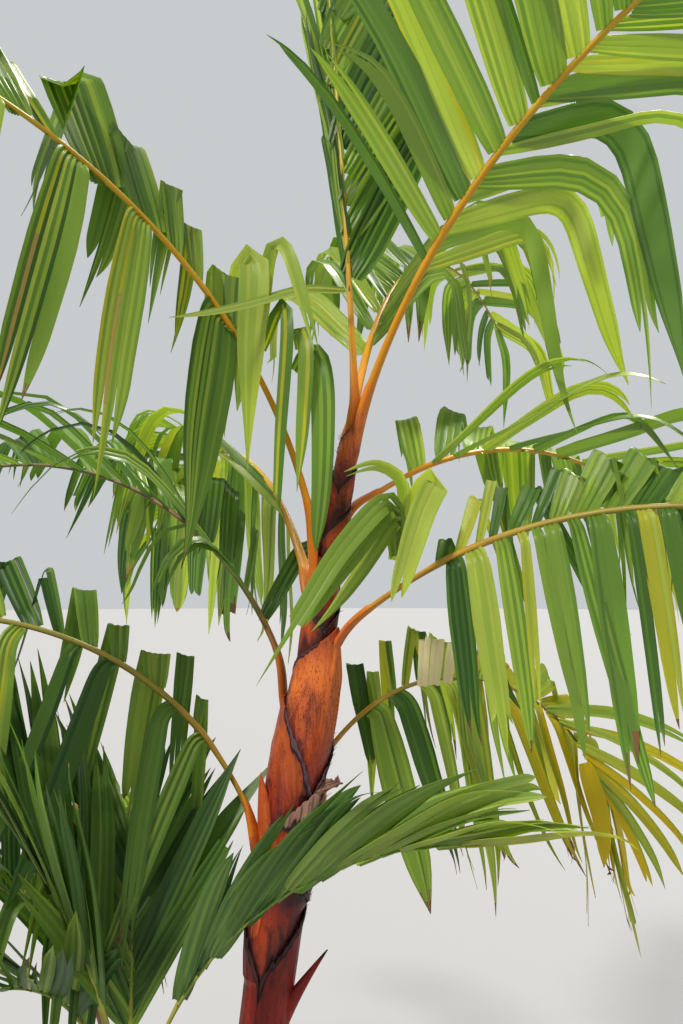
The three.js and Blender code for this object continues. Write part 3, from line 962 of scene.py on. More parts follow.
class Tone(Enum):
    """The leaf colours that are dealt out, from the darkest to the yellowest, then the dead ones. Through the
    dresses, the darker rungs also serve as painted shade and the lighter ones as painted light.
    """

    DEEP = ("#284620", "#38562A", "#56802A")
    DARK = ("#36582A", "#456634", "#6A942E")
    SHADE = ("#4A6C30", "#58783C", "#82AC38")
    MIDDLE = ("#5E8038", "#6C8C48", "#98BE40")
    FRESH = ("#729242", "#76944A", "#AACC46")
    LIGHT = ("#89A44A", "#8AA452", "#BCD64E")
    BRIGHT = ("#A4B856", "#9EB45C", "#CCDE52")
    GLOW = ("#B8C664", "#B2C468", "#D8E45C")
    LIME = ("#BFC04C", "#BABE5A", "#E0E04E")
    YELLOW = ("#DCCA3A", "#D2C44E", "#F2E246")

    @property
    def rung(self) -> int:
        """Its place on the ladder of living colours."""
        return LADDER.index(self)

    def build(self) -> tuple:
        """Makes the materials of a blade in this tone.

        Returns:
            The upper side's material and the underside's, which is duller and lets less light through.
        """
        colour, under, glow = self.value
        name = self.name.lower()
        return (
            LeafFinish(name, colour, glow, 0.36 + 0.03 * self.rung).build(),
            LeafFinish(name + "_under", under, glow, 0.24 + 0.03 * self.rung, 0.5).build(),
        )


LADDER = list(Tone)
SCORCH = DryFinish("scorch", "#6E4A2B")
STRAW = DryFinish("straw", "#A48A40")
BLEACHED = DryFinish("bleached", "#DDD0A0")
SCORCH_SLOT = 2 * len(LADDER)
STRAW_SLOT = SCORCH_SLOT + 1
BLEACHED_SLOT = SCORCH_SLOT + 2


def leaf_materials() -> list:
    """All leaf materials: each tone's two sides in the ladder's order, then the dead ones."""
    living = [material for tone in LADDER for material in tone.build()]
    return [*living, SCORCH.build(), STRAW.build(), BLEACHED.build()]


@dataclass(frozen=True)
class Cloth:
    """How a frond's leaflets are coloured.

    Middle is the usual place on the ladder of tones, spread how far whole leaflets lie from it, and
    streak how far the bands along a leaflet do. Scorch is the share of leaflets with dead tips, and
    rust the share with a brown line in a yellow band. The last value is how far the middle rises from the
    foot of the blade to its tip: painted light on the suckers' fronds, whose outer leaflets are lit, and
    yellowing with painted shade near the foot on old fronds.
    """

    middle: float
    spread: float
    streak: float
    scorch: float
    rust: float = 0.0
    tip_light_and_yellowing: float = 0.0


class Dress(Enum):
    """The ways that fronds are coloured, by their age and by painted light and shade: BRIGHT and SUNNY
    fronds are dealt lighter tones as painted sunlight and light from behind, SHADED and DARK ones
    darker tones as painted shade.
    """

    BRIGHT = Cloth(4.7, 2.5, 1.1, 0.08)
    YOUNG = Cloth(3.5, 1.7, 3.4, 0.02)
    STREAKED = Cloth(4.7, 1.7, 2.8, 0.3, 0.4)
    SUNNY = Cloth(5.4, 2.1, 1.3, 0.2, 0.1)
    MATURE = Cloth(4.3, 3.1, 1.4, 0.25)
    SHADED = Cloth(3.9, 1.8, 1.5, 0.3, 0.12)
    DARK = Cloth(3.2, 1.9, 1.2, 0.05, 0.05)
    # Old fronds: yellowing towards the tip, and darker near the foot as painted shade.
    OLD = Cloth(3.8, 2.0, 2.0, 0.5, 0.3, 5.2)
    # The suckers' sunlit fronds: lighter towards the tip as painted light.
    JUVENILE = Cloth(1.3, 1.4, 1.0, 0.1, 0.0, 5.4)


# The plant's rule.


@dataclass(frozen=True)
class Stem:
    """The main stem: how it leans and its radius at each height."""

    height: float = 1790
    lean: float = 0.091
    bow: float = 0.000022
    girth: tuple = (
        (0, 76), (30, 60), (95, 47), (400, 40), (600, 36), (800, 34), (1080, 31.5), (1290, 26.5),
        (1430, 23.5), (1570, 17.5), (1680, 13), (1790, 9),
    )
    bare: float = 760
    top: float = 1735
    first_scar: float = 70.0
    scar_spacing: float = 58.0
    last_scar: float = 420
    scar_breadth: float = 5.0
    flare: float = 150
    lobes: int = 5
    ground_reach: float = 80.0
    sides: int = 48
    rings: int = 220

    def at(self, z: Number) -> np.ndarray:
        """The stem's axis at heights z."""
        z = np.asarray(z, float)
        return np.stack([self.lean * z + self.bow * z * z, np.zeros_like(z), z], axis=-1)

    def radius(self, z: Number) -> Number:
        """The stem's radius at heights z."""
        heights, radii = zip(*self.girth)
        return np.interp(z, heights, radii)

    def build(self, bark: Material) -> Object:
        """Makes the stem with raised rings where old leaves were.

        Args:
            bark: its material.

        Returns:
            The piece.
        """
        # Its top is left out, where the stalk of the last frond stands in its place.
        z = np.concatenate([np.linspace(0, self.bare, self.rings), np.linspace(self.bare + 10, self.top, 40)])
        turn = np.linspace(0, 360, self.sides, endpoint=False)
        zz, tt = np.meshgrid(z, turn, indexing="ij")
        # The bark is paler round each scar; the raised rings themselves are grown on it.
        phase = (zz + 2.0 * ripple(3, tt / RADIAN) - self.first_scar) / self.scar_spacing
        near = np.abs(phase - np.round(phase)) * self.scar_spacing
        scar = np.exp(-((near / self.scar_breadth) ** 2)) * smooth((zz - 50) / 30)
        flare = smooth(1 - zz / self.flare)
        waves = np.cos(np.radians(tt) * self.lobes + 0.7)
        lobes = 1 + 0.09 * flare * waves + 0.012 * ripple(8, tt / 40 + zz / 90)
        swell = 1 + 0.016 * np.cos(2 * math.pi * phase)
        skirt = np.exp(-(zz / 22) ** 2) * 6 * (0.5 + 0.5 * ripple(5, tt / 30))
        radius = self.radius(zz) * np.where(zz < 1, 1.0, lobes * swell) + skirt
        radius = np.minimum(radius, np.where(zz < 40, self.ground_reach, np.inf))
        rings = self.at(zz) + heading_of(tt) * radius[..., None]
        shell = Shell()
        add_tube(shell, rings, 0, scar=np.clip(scar * 0.9, 0, 1))
        return shell.mesh("stem", [bark])

    def build_scars(self, rings: ScarRings, dried: Material) -> Object:
        """Makes the rings of old leaf scars on the part of the stem that no sheath covers."""
        z = np.linspace(self.first_scar, self.last_scar, 60)
        return rings.build("stem_scars", self.at(z), self.radius(z) + 0.4, dried)


STEM = Stem()


class SheathLook(Enum):
    """Finishes of the sheaths, from the bright living ones to the old red ones."""

    ORANGE = SheathFinish(
        "orange",
        ((0.0, "#7C201A"), (0.2, "#A83E22"), (0.45, "#CA5C2A"), (0.8, "#DA722E"), (0.97, "#B4562A")),
        "#9A3426", "#24121A", "#4E3034", "#5E1E24", "#4A1A22", flecks=0.63,
    )
    BURNT = SheathFinish(
        "burnt",
        ((0.0, "#6C1A18"), (0.25, "#8E2A20"), (0.55, "#A84424"), (0.85, "#BA5A2C"), (1.0, "#AA4C28")),
        "#7E2822", "#24121A", "#5E464C", "#521A20", "#461820", flecks=0.62,
    )
    RED = SheathFinish(
        "red",
        ((0.0, "#560C08"), (0.3, "#70140A"), (0.65, "#8C200C"), (0.95, "#66140A")),
        "#5C130D", "#1E0F14", "#46282C", "#56120C", "#34100F", flecks=0.6, roughness=0.5,
    )
    EMBER = SheathFinish(
        "ember",
        ((0.0, "#4A1812"), (0.35, "#882E16"), (0.7, "#B84C1A"), (1.0, "#74301A")),
        "#581C14", "#180E12", "#3E2E2C", "#521E1A", "#2C1414", flecks=0.58,
    )
    DUSKY = SheathFinish(
        "dusky",
        ((0.0, "#8A2C16"), (0.4, "#A23C1A"), (0.64, "#8E2E1A"), (0.8, "#40191C"), (1.0, "#2A141C")),
        "#4A1A16", "#1C1014", "#5A4648", "#4A181C", "#20121A", flecks=0.6,
    )
    LEATHERY = SheathFinish(
        "leathery",
        ((0.0, "#6A2016"), (0.24, "#5A1C18"), (0.46, "#8C3016"), (0.7, "#B04A1C"), (0.9, "#A8461E")),
        "#6A2012", "#2A181A", "#967262", "#742414", "#3A161A", flecks=0.6,
    )


# How every sheath is made: how far its margins draw apart at the mouth, how far to each side of its
# stalk the rim stays fresh, both in degrees, how far its outer margin lies proud, how far it stands off
# a younger sheath inside it, how far the darkening above an older sheath's rim reaches, and how far
# below that rim it starts; the darkening is partly dark scurf and partly painted shadow.
GAPE = 22
FRESH = 40
PROUD = 2.6
SLACK = 2.8
SCURF_AND_SHADOW_REACH = 26
SCURF_AND_SHADOW_START = -12


@dataclass(frozen=True)
class Sheath:
    """A leaf sheath that wraps the stem from low to high, as in the solids.

    Its mouth is highest at its heading and drops by notch to the side where it opens; the higher late
    is, the later it drops. Radii are at its foot, belly and mouth. Lean is how far its middle swells
    towards its heading, and lip its mouth. Husk is how broad the dried band along its rim is, narrowing
    the share by which it narrows away from the middle of its opening side, curl how far that band
    stands off, and speckle how thickly dark flecks lie on it.
    """

    name: str
    heading: float
    open: float
    low: float
    high: float
    notch: float
    radii: tuple
    belly: float
    lean: float
    lip: float
    look: SheathLook
    seed: float
    late: float = 1.6
    husk: float = 9.0
    curl: float = 3.0
    buried: float = 34.0
    speckle: float = 30000.0
    narrowing: float = 0.0
    overlap: float = 16.0
    wall: float = 2.4
    rows: int = 64
    columns: int = 108

    def rim(self, turn: Number) -> Number:
        """The height of the rim.

        Args:
            turn: headings in degrees.

        Returns:
            The rim's height at each heading.
        """
        off = turn_from(self.heading, turn)
        gape = turn_from(self.heading, self.open)
        fall = np.abs(off) / np.where(off * gape > 0, abs(gape), 360 - abs(gape))
        return self.high - self.notch * np.clip(np.minimum(fall, 2 - fall), 0, 1) ** self.late

    def reach(self, turn: Number, z: Number) -> Number:
        """How far the sheath stands from the stem's axis.

        Args:
            turn: headings in degrees.
            z: heights.

        Returns:
            The reach at each of these places.
        """
        share = np.clip((z - self.low) / (self.rim(turn) - self.low), 0, 1)
        foot, middle, mouth = self.radii
        below = foot + (middle - foot) * np.sin(np.pi / 2 * np.clip(share / self.belly, 0, 1))
        higher = np.clip((share - self.belly) / (1 - self.belly), 0, 1)
        above = mouth + (middle - mouth) * np.cos(np.pi / 2 * higher)
        swell = np.where(share < self.belly, below, above) * 1.03
        out = self.lean * np.sin(np.pi * share**0.8) + self.lip * share
        return swell + out * np.cos(np.radians(turn_from(self.heading, turn)))

    def snug(self, turn: Number, z: Number) -> Number:
        """Its reach, let out wherever a younger sheath stands inside it.

        Args:
            turn: headings in degrees.
            z: heights.

        Returns:
            The reach at each of these places.
        """
        reach = self.reach(turn, z)
        for other in SHEATHS[SHEATHS.index(self) + 1 :]:
            inside = smooth((z - other.low) / 20) * (z < other.rim(turn) + 4)
            reach = np.maximum(reach, (other.reach(turn, z) + SLACK) * inside)
        return reach

    def surface(self) -> tuple:
        """The sheath's outer face, as rows that climb by columns that turn left.

        Returns:
            The face's points, the inner wall's points, headings, heights, rim heights, the mark edge, and the
            mark of the darkening above older sheaths' rims, which is partly dark scurf and partly painted
            shadow.
        """
        share = np.linspace(0, 1, self.rows) ** 0.85
        wrap = np.linspace(0, 1, self.columns)
        ss, ww = np.meshgrid(share, wrap, indexing="ij")
        span = 360 + self.overlap
        # The two margins draw apart towards the mouth, so the sheath opens in a narrow V.
        gap = GAPE * smooth((ss - 0.55) / 0.45)
        turn = self.open - self.overlap / 2 + gap / 2 + (span - gap) * ww
        rim, foot = self.rim(turn), self.low - self.buried
        z = foot + (rim - foot) * ss
        tall = rim - z
        # Its side margins are dry near the mouth only.
        side = np.minimum(ww, 1 - ww) * span / RADIAN * self.radii[1] + 0.3 * tall
        # Where the sheath runs out into its stalk, at its heading, the rim stays fresh.
        off = turn_from(self.heading, turn)
        fresh = np.exp(-((off / FRESH) ** 2))
        across = off / turn_from(self.heading, self.open)
        husk = self.husk * (1 - self.narrowing * (1 - np.exp(-(((across - 0.44) / 0.3) ** 2))))
        rim_gap = tall + 0.3 * husk * ripple(self.seed, ww * 22) + 60 * fresh
        edge = np.exp(-np.minimum(side * 1.3, np.maximum(rim_gap, 0)) / husk)
        # The outer margin lies proud of the inner one, and the rim curls out where it has dried.
        proud = PROUD * (1 - ww) - 0.4
        band = np.exp(-((tall / husk) ** 2)) * (1 - fresh)
        crumple = 0.5 + 0.35 * ripple(self.seed + 1, ww * 40, 6)
        curl = self.curl * np.sqrt(husk / self.husk) * band * crumple * 1.6 + 2.2 * np.exp(-side / 5) * ss
        crease = 0.7 * ripple(self.seed + 4, turn / 9) * smooth((z - self.low) / 60)
        fray = ripple(self.seed + 2, ww * 60, 7) * np.exp(-tall / 14) * (1 - fresh)
        fray = min(3.0, 0.2 * self.husk) * fray
        lift = self.snug(turn, z) + proud + curl + crease
        axis, out = STEM.at(z + fray), heading_of(turn)
        face = axis + out * lift[..., None]
        back = axis + out * (lift - self.wall)[..., None]
        # Just above the rim of every older sheath outside it the hide is darkened: partly by dark scurf that
        # gathers there, and partly as painted shadow that the rim casts.
        soot = np.zeros_like(z)
        for other in SHEATHS[: SHEATHS.index(self)]:
            above = z - other.rim(turn)
            near = np.exp(-np.clip(above, 0, None) / SCURF_AND_SHADOW_REACH) * (above > SCURF_AND_SHADOW_START)
            soot = np.maximum(soot, near * (other.high > self.low))
        return face, back, turn, z, rim, edge, soot

    def build(self, materials: dict) -> Object:
        """Makes the sheath as a wrapped, thin wall whose margins overlap and dry up.

        Args:
            materials: the material of each look.

        Returns:
            The piece.
        """
        face, back, turn, z, rim, edge, soot = self.surface()
        uv = np.stack([turn * self.radii[1] / RADIAN, z - self.low], -1)
        climb = np.clip((z - self.low) / (rim - self.low), 0, 1)
        # Rows climb and columns turn left, so the sheet's face would look inwards: columns are reversed.
        face, back, uv, climb, edge, soot = (grid[:, ::-1] for grid in (face, back, uv, climb, edge, soot))
        shell = Shell()
        add_sheet(shell, face, back, 0, uv, climb=climb, edge=edge, soot=soot)
        return shell.mesh(self.name + "_wrap", [materials[self.look]])

    def build_flecks(self, flecks: ScurfFlecks, scurf: Material) -> Object:
        """Makes the dark flecks on its outer face.

        Args:
            flecks: the rule that strews them.
            scurf: their finish.

        Returns:
            The piece.
        """
        face = self.surface()[0][:, ::-1]
        quads = sheet_faces(self.rows, self.columns, 0)[: (self.rows - 1) * (self.columns - 1)]
        shell = Shell()
        shell.add(face.reshape(-1, 3), quads)
        host = shell.mesh(self.name + "_face", [])
        sizes = {"Seed": int(self.seed), "Density": self.speckle, "Material": scurf}
        return flecks.grow(self.name + "_flecks", host, sizes)

    def build_fibres(self, fibres: MarginFibres, dried: Material) -> Object:
        """Makes the fibres that stand along its rim, but for where it runs into its stalk.

        Args:
            fibres: the rule that sets them out.
            dried: their finish.

        Returns:
            The piece.
        """
        face, back, turn, *_ = self.surface()
        rim = (face[-1] + back[-1]) / 2
        clear = np.abs(turn_from(self.heading, turn[-1])) > FRESH
        # The rim starts and ends at its open side, so what is left of it is the part before the stalk.
        first = np.argmin(clear)
        last = len(clear) - np.argmin(clear[::-1])
        longer = slice(0, first) if first >= len(clear) - last else slice(last, None)
        out = heading_of(turn[-1]) * 0.5 + UP
        host = line_host(self.name + "_rim", rim[longer], out=out[longer])
        return fibres.grow(self.name + "_fibres", host, {"Seed": int(self.seed), "Material": dried})


@dataclass(frozen=True)
class Scroll:
    """The dried corner of a sheath's rim, which has come loose and rolled outwards."""

    low: float = 1142
    high: float = 1156
    headings: tuple = (-40, -20)
    reach: tuple = (48, 80)
    radius: tuple = (11.0, 8.0)
    turns: float = 0.5
    wall: float = 1.2
    rows: int = 24
    columns: int = 22

    def build(self, materials: dict) -> Object:
        """Makes the roll as a thin sheet that winds about a short rising line.

        Args:
            materials: the material of each look.

        Returns:
            The piece.
        """
        share = np.linspace(0, 1, self.rows)
        away = heading_of(np.interp(share, (0, 1), self.headings))
        line = STEM.at(self.low + (self.high - self.low) * share)
        line = line + away * np.interp(share, (0, 1), self.reach)[:, None]
        forward = unit(np.gradient(line, axis=0))
        across = unit(np.cross(forward, UP))
        above = np.cross(across, forward)
        wind = np.linspace(0, 1, self.columns)
        angle = 2 * math.pi * (self.turns * wind[None] + 0.42 + 0.06 * ripple(7, share * 3)[:, None])
        radius = np.interp(share, (0, 1), self.radius)[:, None] * (1.25 - 0.65 * wind[None])
        radius = radius * (1 + 0.22 * ripple(9, share * 3.2)[:, None] + 0.2 * ripple(3, wind * 4)[None])
        out = across[:, None] * np.cos(angle)[..., None] + above[:, None] * np.sin(angle)[..., None]
        face = line[:, None] + out * radius[..., None]
        back = line[:, None] + out * (radius - self.wall)[..., None]
        shell = Shell()
        # The face looks outwards when the columns are reversed.
        add_sheet(shell, face[:, ::-1], back[:, ::-1], climb=0.9, edge=0.66, soot=0.0)
        return shell.mesh("low_right_scroll", [materials[SheathLook.LEATHERY]])


@dataclass(frozen=True)
class LeafHabit:
    """How a row of leaflets stands, in degrees and shares of its length, as in the solids.

    Loose is how far single leaflets stray from it, and drift how far they hang towards the rib's tip.
    Slim and long are factors on their width and length, seat how high on the rib they stand, in its
    radii, and torn the share of them that has broken off.
    """

    rise: float
    sweep: float
    hang: float
    crease: float
    soft: float
    roll: float
    loose: float = 1.0
    drift: float = 0.2
    slim: float = 1.0
    seat: float = 0.4
    torn: float = 0.0
    long: float = 1.0


class Habit(Enum):
    """The habits that a row of leaflets may have."""

    STIFF = LeafHabit(38, 34, 0.16, 0.6, 0.4, 16)
    RAISED = LeafHabit(52, 26, 0.42, 0.2, 0.8, 12, 1.5, 0.1)
    ARCHED = LeafHabit(34, 42, 0.84, 0.24, 0.46, 8, 1.2)
    SPREAD = LeafHabit(-10, 36, 0.9, 0.3, 0.4, 8, 1.3, long=1.2)
    DRAPED = LeafHabit(-42, 18, 0.9, 0.0, 0.1, 0, 1.2, 0.34, seat=-0.4)
    PLUMB = LeafHabit(-42, 18, 0.94, 0.0, 0.1, 0, 1.2, 0.15, seat=-0.4)
    TORN = LeafHabit(-46, 14, 0.92, 0.0, 0.08, 0, 1.0, 0.4, 1.3, -0.5, 0.46, 1.04)
    SPARSE = LeafHabit(-40, 20, 0.9, 0.0, 0.12, 0, 1.4, 0.34, 0.66, -0.4, 0.4, 1.1)
    WISPY = LeafHabit(34, 42, 0.7, 0.16, 0.7, 6, 1.6, 0.3, 0.42, 0.3, 0.0, 1.15)
    AIRY = LeafHabit(34, 42, 0.84, 0.22, 0.48, 8, 1.5, 0.26, 0.56)
    FOLDED = LeafHabit(68, 30, 0.88, 0.21, 0.035, 0, 1.3, 0.2)
    UPRIGHT = LeafHabit(78, 40, 0.9, 0.36, 0.03, 0, 1.0, 0.2, 1.35)
    SLACK = LeafHabit(28, 40, 0.62, 0.34, 0.5, 8, 1.3)
    SPEARED = LeafHabit(14, 60, 0.04, 0.6, 0.4, 16, 0.5)
    CLOSED = LeafHabit(-70, 82, 0.02, 0.6, 0.4, 0, 0.3, slim=0.42)
    FANNED = LeafHabit(16, 56, 0.12, 0.5, 0.5, 16)
    CUPPED = LeafHabit(34, 64, 0.3, 0.35, 0.65, 0, 0.7)
    LEVEL = LeafHabit(10, 72, 0.3, 0.35, 0.65, 0, 0.5)
    TUCKED = LeafHabit(60, 74, 0.3, 0.35, 0.65, 0, 0.5)


class Shade(Enum):
    """Finishes of the frond stalks."""

    ORANGE = StalkFinish(
        "orange",
        ((0.0, "#8E3A14"), (0.03, "#CC5E10"), (0.055, "#D8720E"), (0.12, "#D6860C"), (0.24, "#D0920F"),
         (0.45, "#C89E1C"), (0.75, "#B0A236"), (1.0, "#8A983C")),
        "#C48214",
    )
    GOLD = StalkFinish(
        "gold",
        ((0.0, "#7A3016"), (0.035, "#B4581A"), (0.06, "#C26A1C"), (0.15, "#CC8E26"), (0.4, "#C4A638"),
         (0.7, "#A0A03E"), (1.0, "#76903C")),
        "#A07E2C",
    )
    FADED = StalkFinish(
        "faded",
        ((0.0, "#BC4C1A"), (0.035, "#DC6A1C"), (0.065, "#DC7C24"), (0.11, "#D2902A"), (0.2, "#C0902C"),
         (0.36, "#9A8A32"), (0.65, "#7A8038"), (1.0, "#667A3A")),
        "#86642A",
    )
    GREEN = StalkFinish(
        "green",
        ((0.0, "#B27A26"), (0.15, "#A89A38"), (0.5, "#8C9A3E"), (1.0, "#6A8A3A")),
        "#66722E",
    )
    BROWN = StalkFinish(
        "brown",
        ((0.0, "#A8481C"), (0.05, "#C0661E"), (0.12, "#966430"), (0.5, "#6E6038"), (1.0, "#6E7A3E")),
        "#503A2C",
    )


RIB_STEPS = 120
SPINE_STEPS = 144
# Real pleats are 6 to 10 mm apart; drawn a little wider, so that they show at this distance.
PLEAT_WIDTH = 11.5
BLADE_THICKNESS = 0.8
# A leaflet that would reach into the stem ends there, or is left out if less than this share is clear.
SHORTEST = 0.45
STALK_SIDES = 20
# A stalk's foot: the share of it that lies on its sheath, how deep it is sunk there, half its width,
# how far down the sheath it starts, and its last rings, which have the stalk's own finish.
WALL_SHARE = 0.72
SUNK = 5.0
FOOT_HALF = 30
FOOT_RUN = 120.0
FOOT_STEPS = 30
BLEND_RINGS = 3
# How far the foot's colour climbs, on the stalk's ramp and on the sheath's.
FOOT_TINT = 0.06
FOOT_CLIMB = 0.86
# Half the width of a leaflet at a share of its length, as a share of its full width.
HALF_WIDTH = ((0, 0.3), (0.05, 0.38), (0.16, 0.46), (0.34, 0.5), (0.6, 0.44), (0.8, 0.33), (1, 0.2))


@dataclass(frozen=True)
class Spine:
    """The middle line of one leaflet, its directions, and how the leaflet stands on it.

    Key picks its draws and share is its place along the blade. Tone is its place on the ladder of
    colours, where it has one of its own.
    """

    path: np.ndarray
    wide: np.ndarray
    normal: np.ndarray
    length: float
    width: float
    key: float
    crease: float
    soft: float
    hang: float
    share: float = 0.0
    tone: float | None = None
    dead: bool = False


@dataclass(frozen=True)
class Frond:
    """A frond: its rib, and two rows of pleated leaflets that follow the rule of the solids.

    Neck is the step of the rib where its foot ends, yaw how far the foot is turned about itself, and
    drawn how far it lies round the sheath from the frond's heading, in degrees.
    """

    name: str
    foot: float
    heading: float
    rise: float
    arch: float
    swing: float
    length: float
    petiole: float
    pairs: int
    leaf: float
    wide: float
    girth: float
    left: Habit
    right: Habit
    seed: float
    dress: Dress
    shade: Shade
    finer: float = 1.35
    neck: int = 10
    slim: float = 1.0
    yaw: float = 0.0
    drawn: float = 0.0
    origin: tuple | None = None

    @property
    def sheath(self) -> Sheath | None:
        """The sheath that the stalk grows from, or None on a sucker and on the spear leaf."""
        own = self.name.replace("frond", "sheath")
        return next((sheath for sheath in SHEATHS if sheath.name == own), None)

    def start(self) -> np.ndarray:
        """Where the stalk starts: at the side of its own sheath, or where origin says.

        Returns:
            The place.
        """
        if self.origin is not None:
            return np.array(self.origin, float)
        reach = 0.5 * self.sheath.radii[2] if self.sheath else 0.0
        return STEM.at(self.foot) + heading_of(self.heading) * reach

    def rib(self) -> tuple:
        """The middle line of the stalk and of the rib between the leaflets.

        Returns:
            Its points, tangents, upper-side normals and left sides at equal steps.
        """
        share = np.linspace(0, 1, RIB_STEPS + 1)
        climb = np.radians(self.rise - self.arch * share)[:, None]
        out = heading_of(self.heading + self.swing * share)
        tangent = out * np.cos(climb) + UP * np.sin(climb)
        normal = -out * np.sin(climb) + UP * np.cos(climb)
        steps = tangent * self.length / RIB_STEPS
        steps[0] = 0
        return self.start() + np.cumsum(steps, axis=0), tangent, normal, np.cross(normal, tangent)

    def rib_radius(self, share: Number) -> Number:
        """The rib's radius at shares of its length."""
        return self.girth * (0.2 + 0.62 * (1 - share) + 0.4 * np.exp(-share * 22))

    def tongue(self) -> tuple:
        """The stalk's foot, which spreads and runs down the outside of its sheath.

        Returns:
            Points, upper-side normals, left sides, half widths and half depths.
        """
        sheath = self.sheath
        points, tangent, *_ = self.rib()
        t = np.linspace(0, 1, FOOT_STEPS, endpoint=False)
        top = min(sheath.high - 14, self.foot + 6)
        bottom = max(top - FOOT_RUN, sheath.low + 20)
        z = bottom + (top - bottom) * np.minimum(1, t / WALL_SHARE)
        heading = np.full(FOOT_STEPS, self.heading + self.drawn)
        wall = STEM.at(z) + heading_of(heading) * (sheath.snug(heading, z) - SUNK)[:, None]
        # Past the mouth it bends from the wall to the rib, along a smooth curve.
        start, end = wall[int(FOOT_STEPS * WALL_SHARE)], points[self.neck]
        reach = np.linalg.norm(end - start)
        w = np.clip((t - WALL_SHARE) / (1 - WALL_SHARE), 0, 1)[:, None]
        leave = unit(UP + heading_of(self.heading) * 0.7 * math.cos(math.radians(self.rise)))
        first, second = start + leave * reach * 0.36, end - tangent[self.neck] * reach * 0.4
        curve = start * (1 - w) ** 3 + 3 * first * w * (1 - w) ** 2 + 3 * second * w**2 * (1 - w) + end * w**3
        path = np.where(w > 0, curve, wall)
        forward = unit(np.gradient(path, axis=0))
        level = unit(np.cross(-heading_of(heading), forward))
        bulge = np.sin(np.pi * w[:, 0])
        level = turned_about(level, forward, math.radians(self.yaw) * bulge**0.7)
        radius = self.rib_radius(self.neck / RIB_STEPS)
        half = (FOOT_HALF - (FOOT_HALF - 1.5 * radius) * smooth(t * 1.05)) * np.minimum(1, 0.15 + 2.2 * t)
        half = np.minimum(half, sheath.radii[1] * 0.72) * (1 + 0.5 * bulge)
        deep = SUNK + (radius * 0.95 - SUNK) * smooth(t / 0.7)
        return path, np.cross(forward, level), level, half, deep

    def lengthwise(self) -> tuple:
        """What the stalk is like at each of its rings, from its foot to its tip.

        Returns:
            Points, normals, left sides, half widths, half depths, shares of the rib's length, places on
            the stalk's colour ramp, material indices, and places on the sheath's colour ramp.
        """
        points, _, normal, side = self.rib()
        share = np.linspace(0, 1, RIB_STEPS + 1)
        radius = self.rib_radius(share)
        first = self.neck if self.sheath else 0
        half = radius * (1.05 + 0.3 * np.exp(-np.maximum(share - first / RIB_STEPS, 0) / 0.04))
        tint = FOOT_TINT + (1 - FOOT_TINT) * share
        slots, climb = np.zeros(len(share), int), np.full(len(share), FOOT_CLIMB)
        rib = [v[first:] for v in (points, normal, side, half, radius * 0.92, share, tint, slots, climb)]
        if self.sheath:
            path, *shape = self.tongue()
            rise = (path[:, 2] - self.sheath.low) / (self.sheath.high - self.sheath.low)
            hide = (np.arange(FOOT_STEPS) < FOOT_STEPS - BLEND_RINGS).astype(int)
            tint = np.linspace(0, FOOT_TINT, FOOT_STEPS)
            foot = [path, *shape, np.zeros(FOOT_STEPS), tint, hide, np.minimum(rise, FOOT_CLIMB)]
        elif self.foot == STEM.height:
            # The last frond goes on straight from the stem, down inside the highest sheath.
            below = STEM.at(np.linspace(1690, 1784, 12))
            foot = [below, *(np.repeat(values[:1], len(below), 0) for values in rib[1:])]
        else:
            return tuple(rib)
        return tuple(np.concatenate(pair) for pair in zip(foot, rib))

    def build_stalk(self, materials: dict, hides: dict) -> Object:
        """Makes the stalk and rib: a broad channelled foot, then a ridge between the leaflet rows.

        Args:
            materials: the material of each stalk finish.
            hides: the material of each sheath.

        Returns:
            The piece.
        """
        points, normal, side, half, deep, share, tint, slots, climb = self.lengthwise()
        angle = 2 * math.pi * np.arange(STALK_SIDES) / STALK_SIDES
        bare = smooth((self.petiole / self.length * 1.1 - share) / 0.08) * smooth((share - 0.02) / 0.06)
        x = np.cos(angle) * half[:, None]
        y = np.sin(angle) * deep[:, None]
        top = np.clip(np.sin(angle), 0, 1) ** 3
        y = y - top * deep[:, None] * (0.68 * bare - 0.18 * (1 - bare) * (share > 0.1))[:, None]
        rings = points[:, None] + side[:, None] * x[..., None] + normal[:, None] * y[..., None]
        shell = Shell()
        # The mark under is 1 on the stalk's underside, where its finish darkens the colour as painted shade.
        add_tube(
            shell, rings, np.repeat(slots[1:], STALK_SIDES), along=tint[:, None],
            under=np.clip(-np.sin(angle), 0, 1), climb=climb[:, None], edge=0.0,
        )
        living = (SheathLook.ORANGE, SheathLook.LEATHERY, SheathLook.DUSKY)
        skin = materials[self.shade]
        if self.sheath and self.sheath.look in living:
            skin = hides[SheathLook.ORANGE]
        return shell.mesh(self.name + "_stalk", [materials[self.shade], skin])

    def row(self, handed: int) -> list:
        """The leaflets of one side, from the foot of the blade to its tip.

        Args:
            handed: 1 for the left side and -1 for the right, as seen from the foot.

        Returns:
            A share along the blade, a width factor and a key for each leaflet.
        """
        habit = (self.left if handed > 0 else self.right).value
        pitch = 1 / (self.pairs * self.finer)
        share = pitch * (0.1 if handed > 0 else 0.5)
        found = []
        number = 0
        while share < 1:
            key = 400 + number * 16 + (0 if handed > 0 else 8)
            size = (0.5, 0.78, 1.08, 1.32)[int(shake(self.seed, key + 0.5) * 3.99)]
            # Where leaflets have broken off, the gaps are spread along the rib.
            place = number * (1 - habit.torn) + 0.3 * float(shake(self.seed, key + 14)) + 0.56
            if habit.torn == 0 or place % 1 < 1 - habit.torn:
                found.append((share, size, key))
            share += pitch * (0.35 + 0.65 * size)
            number += 1
        return found

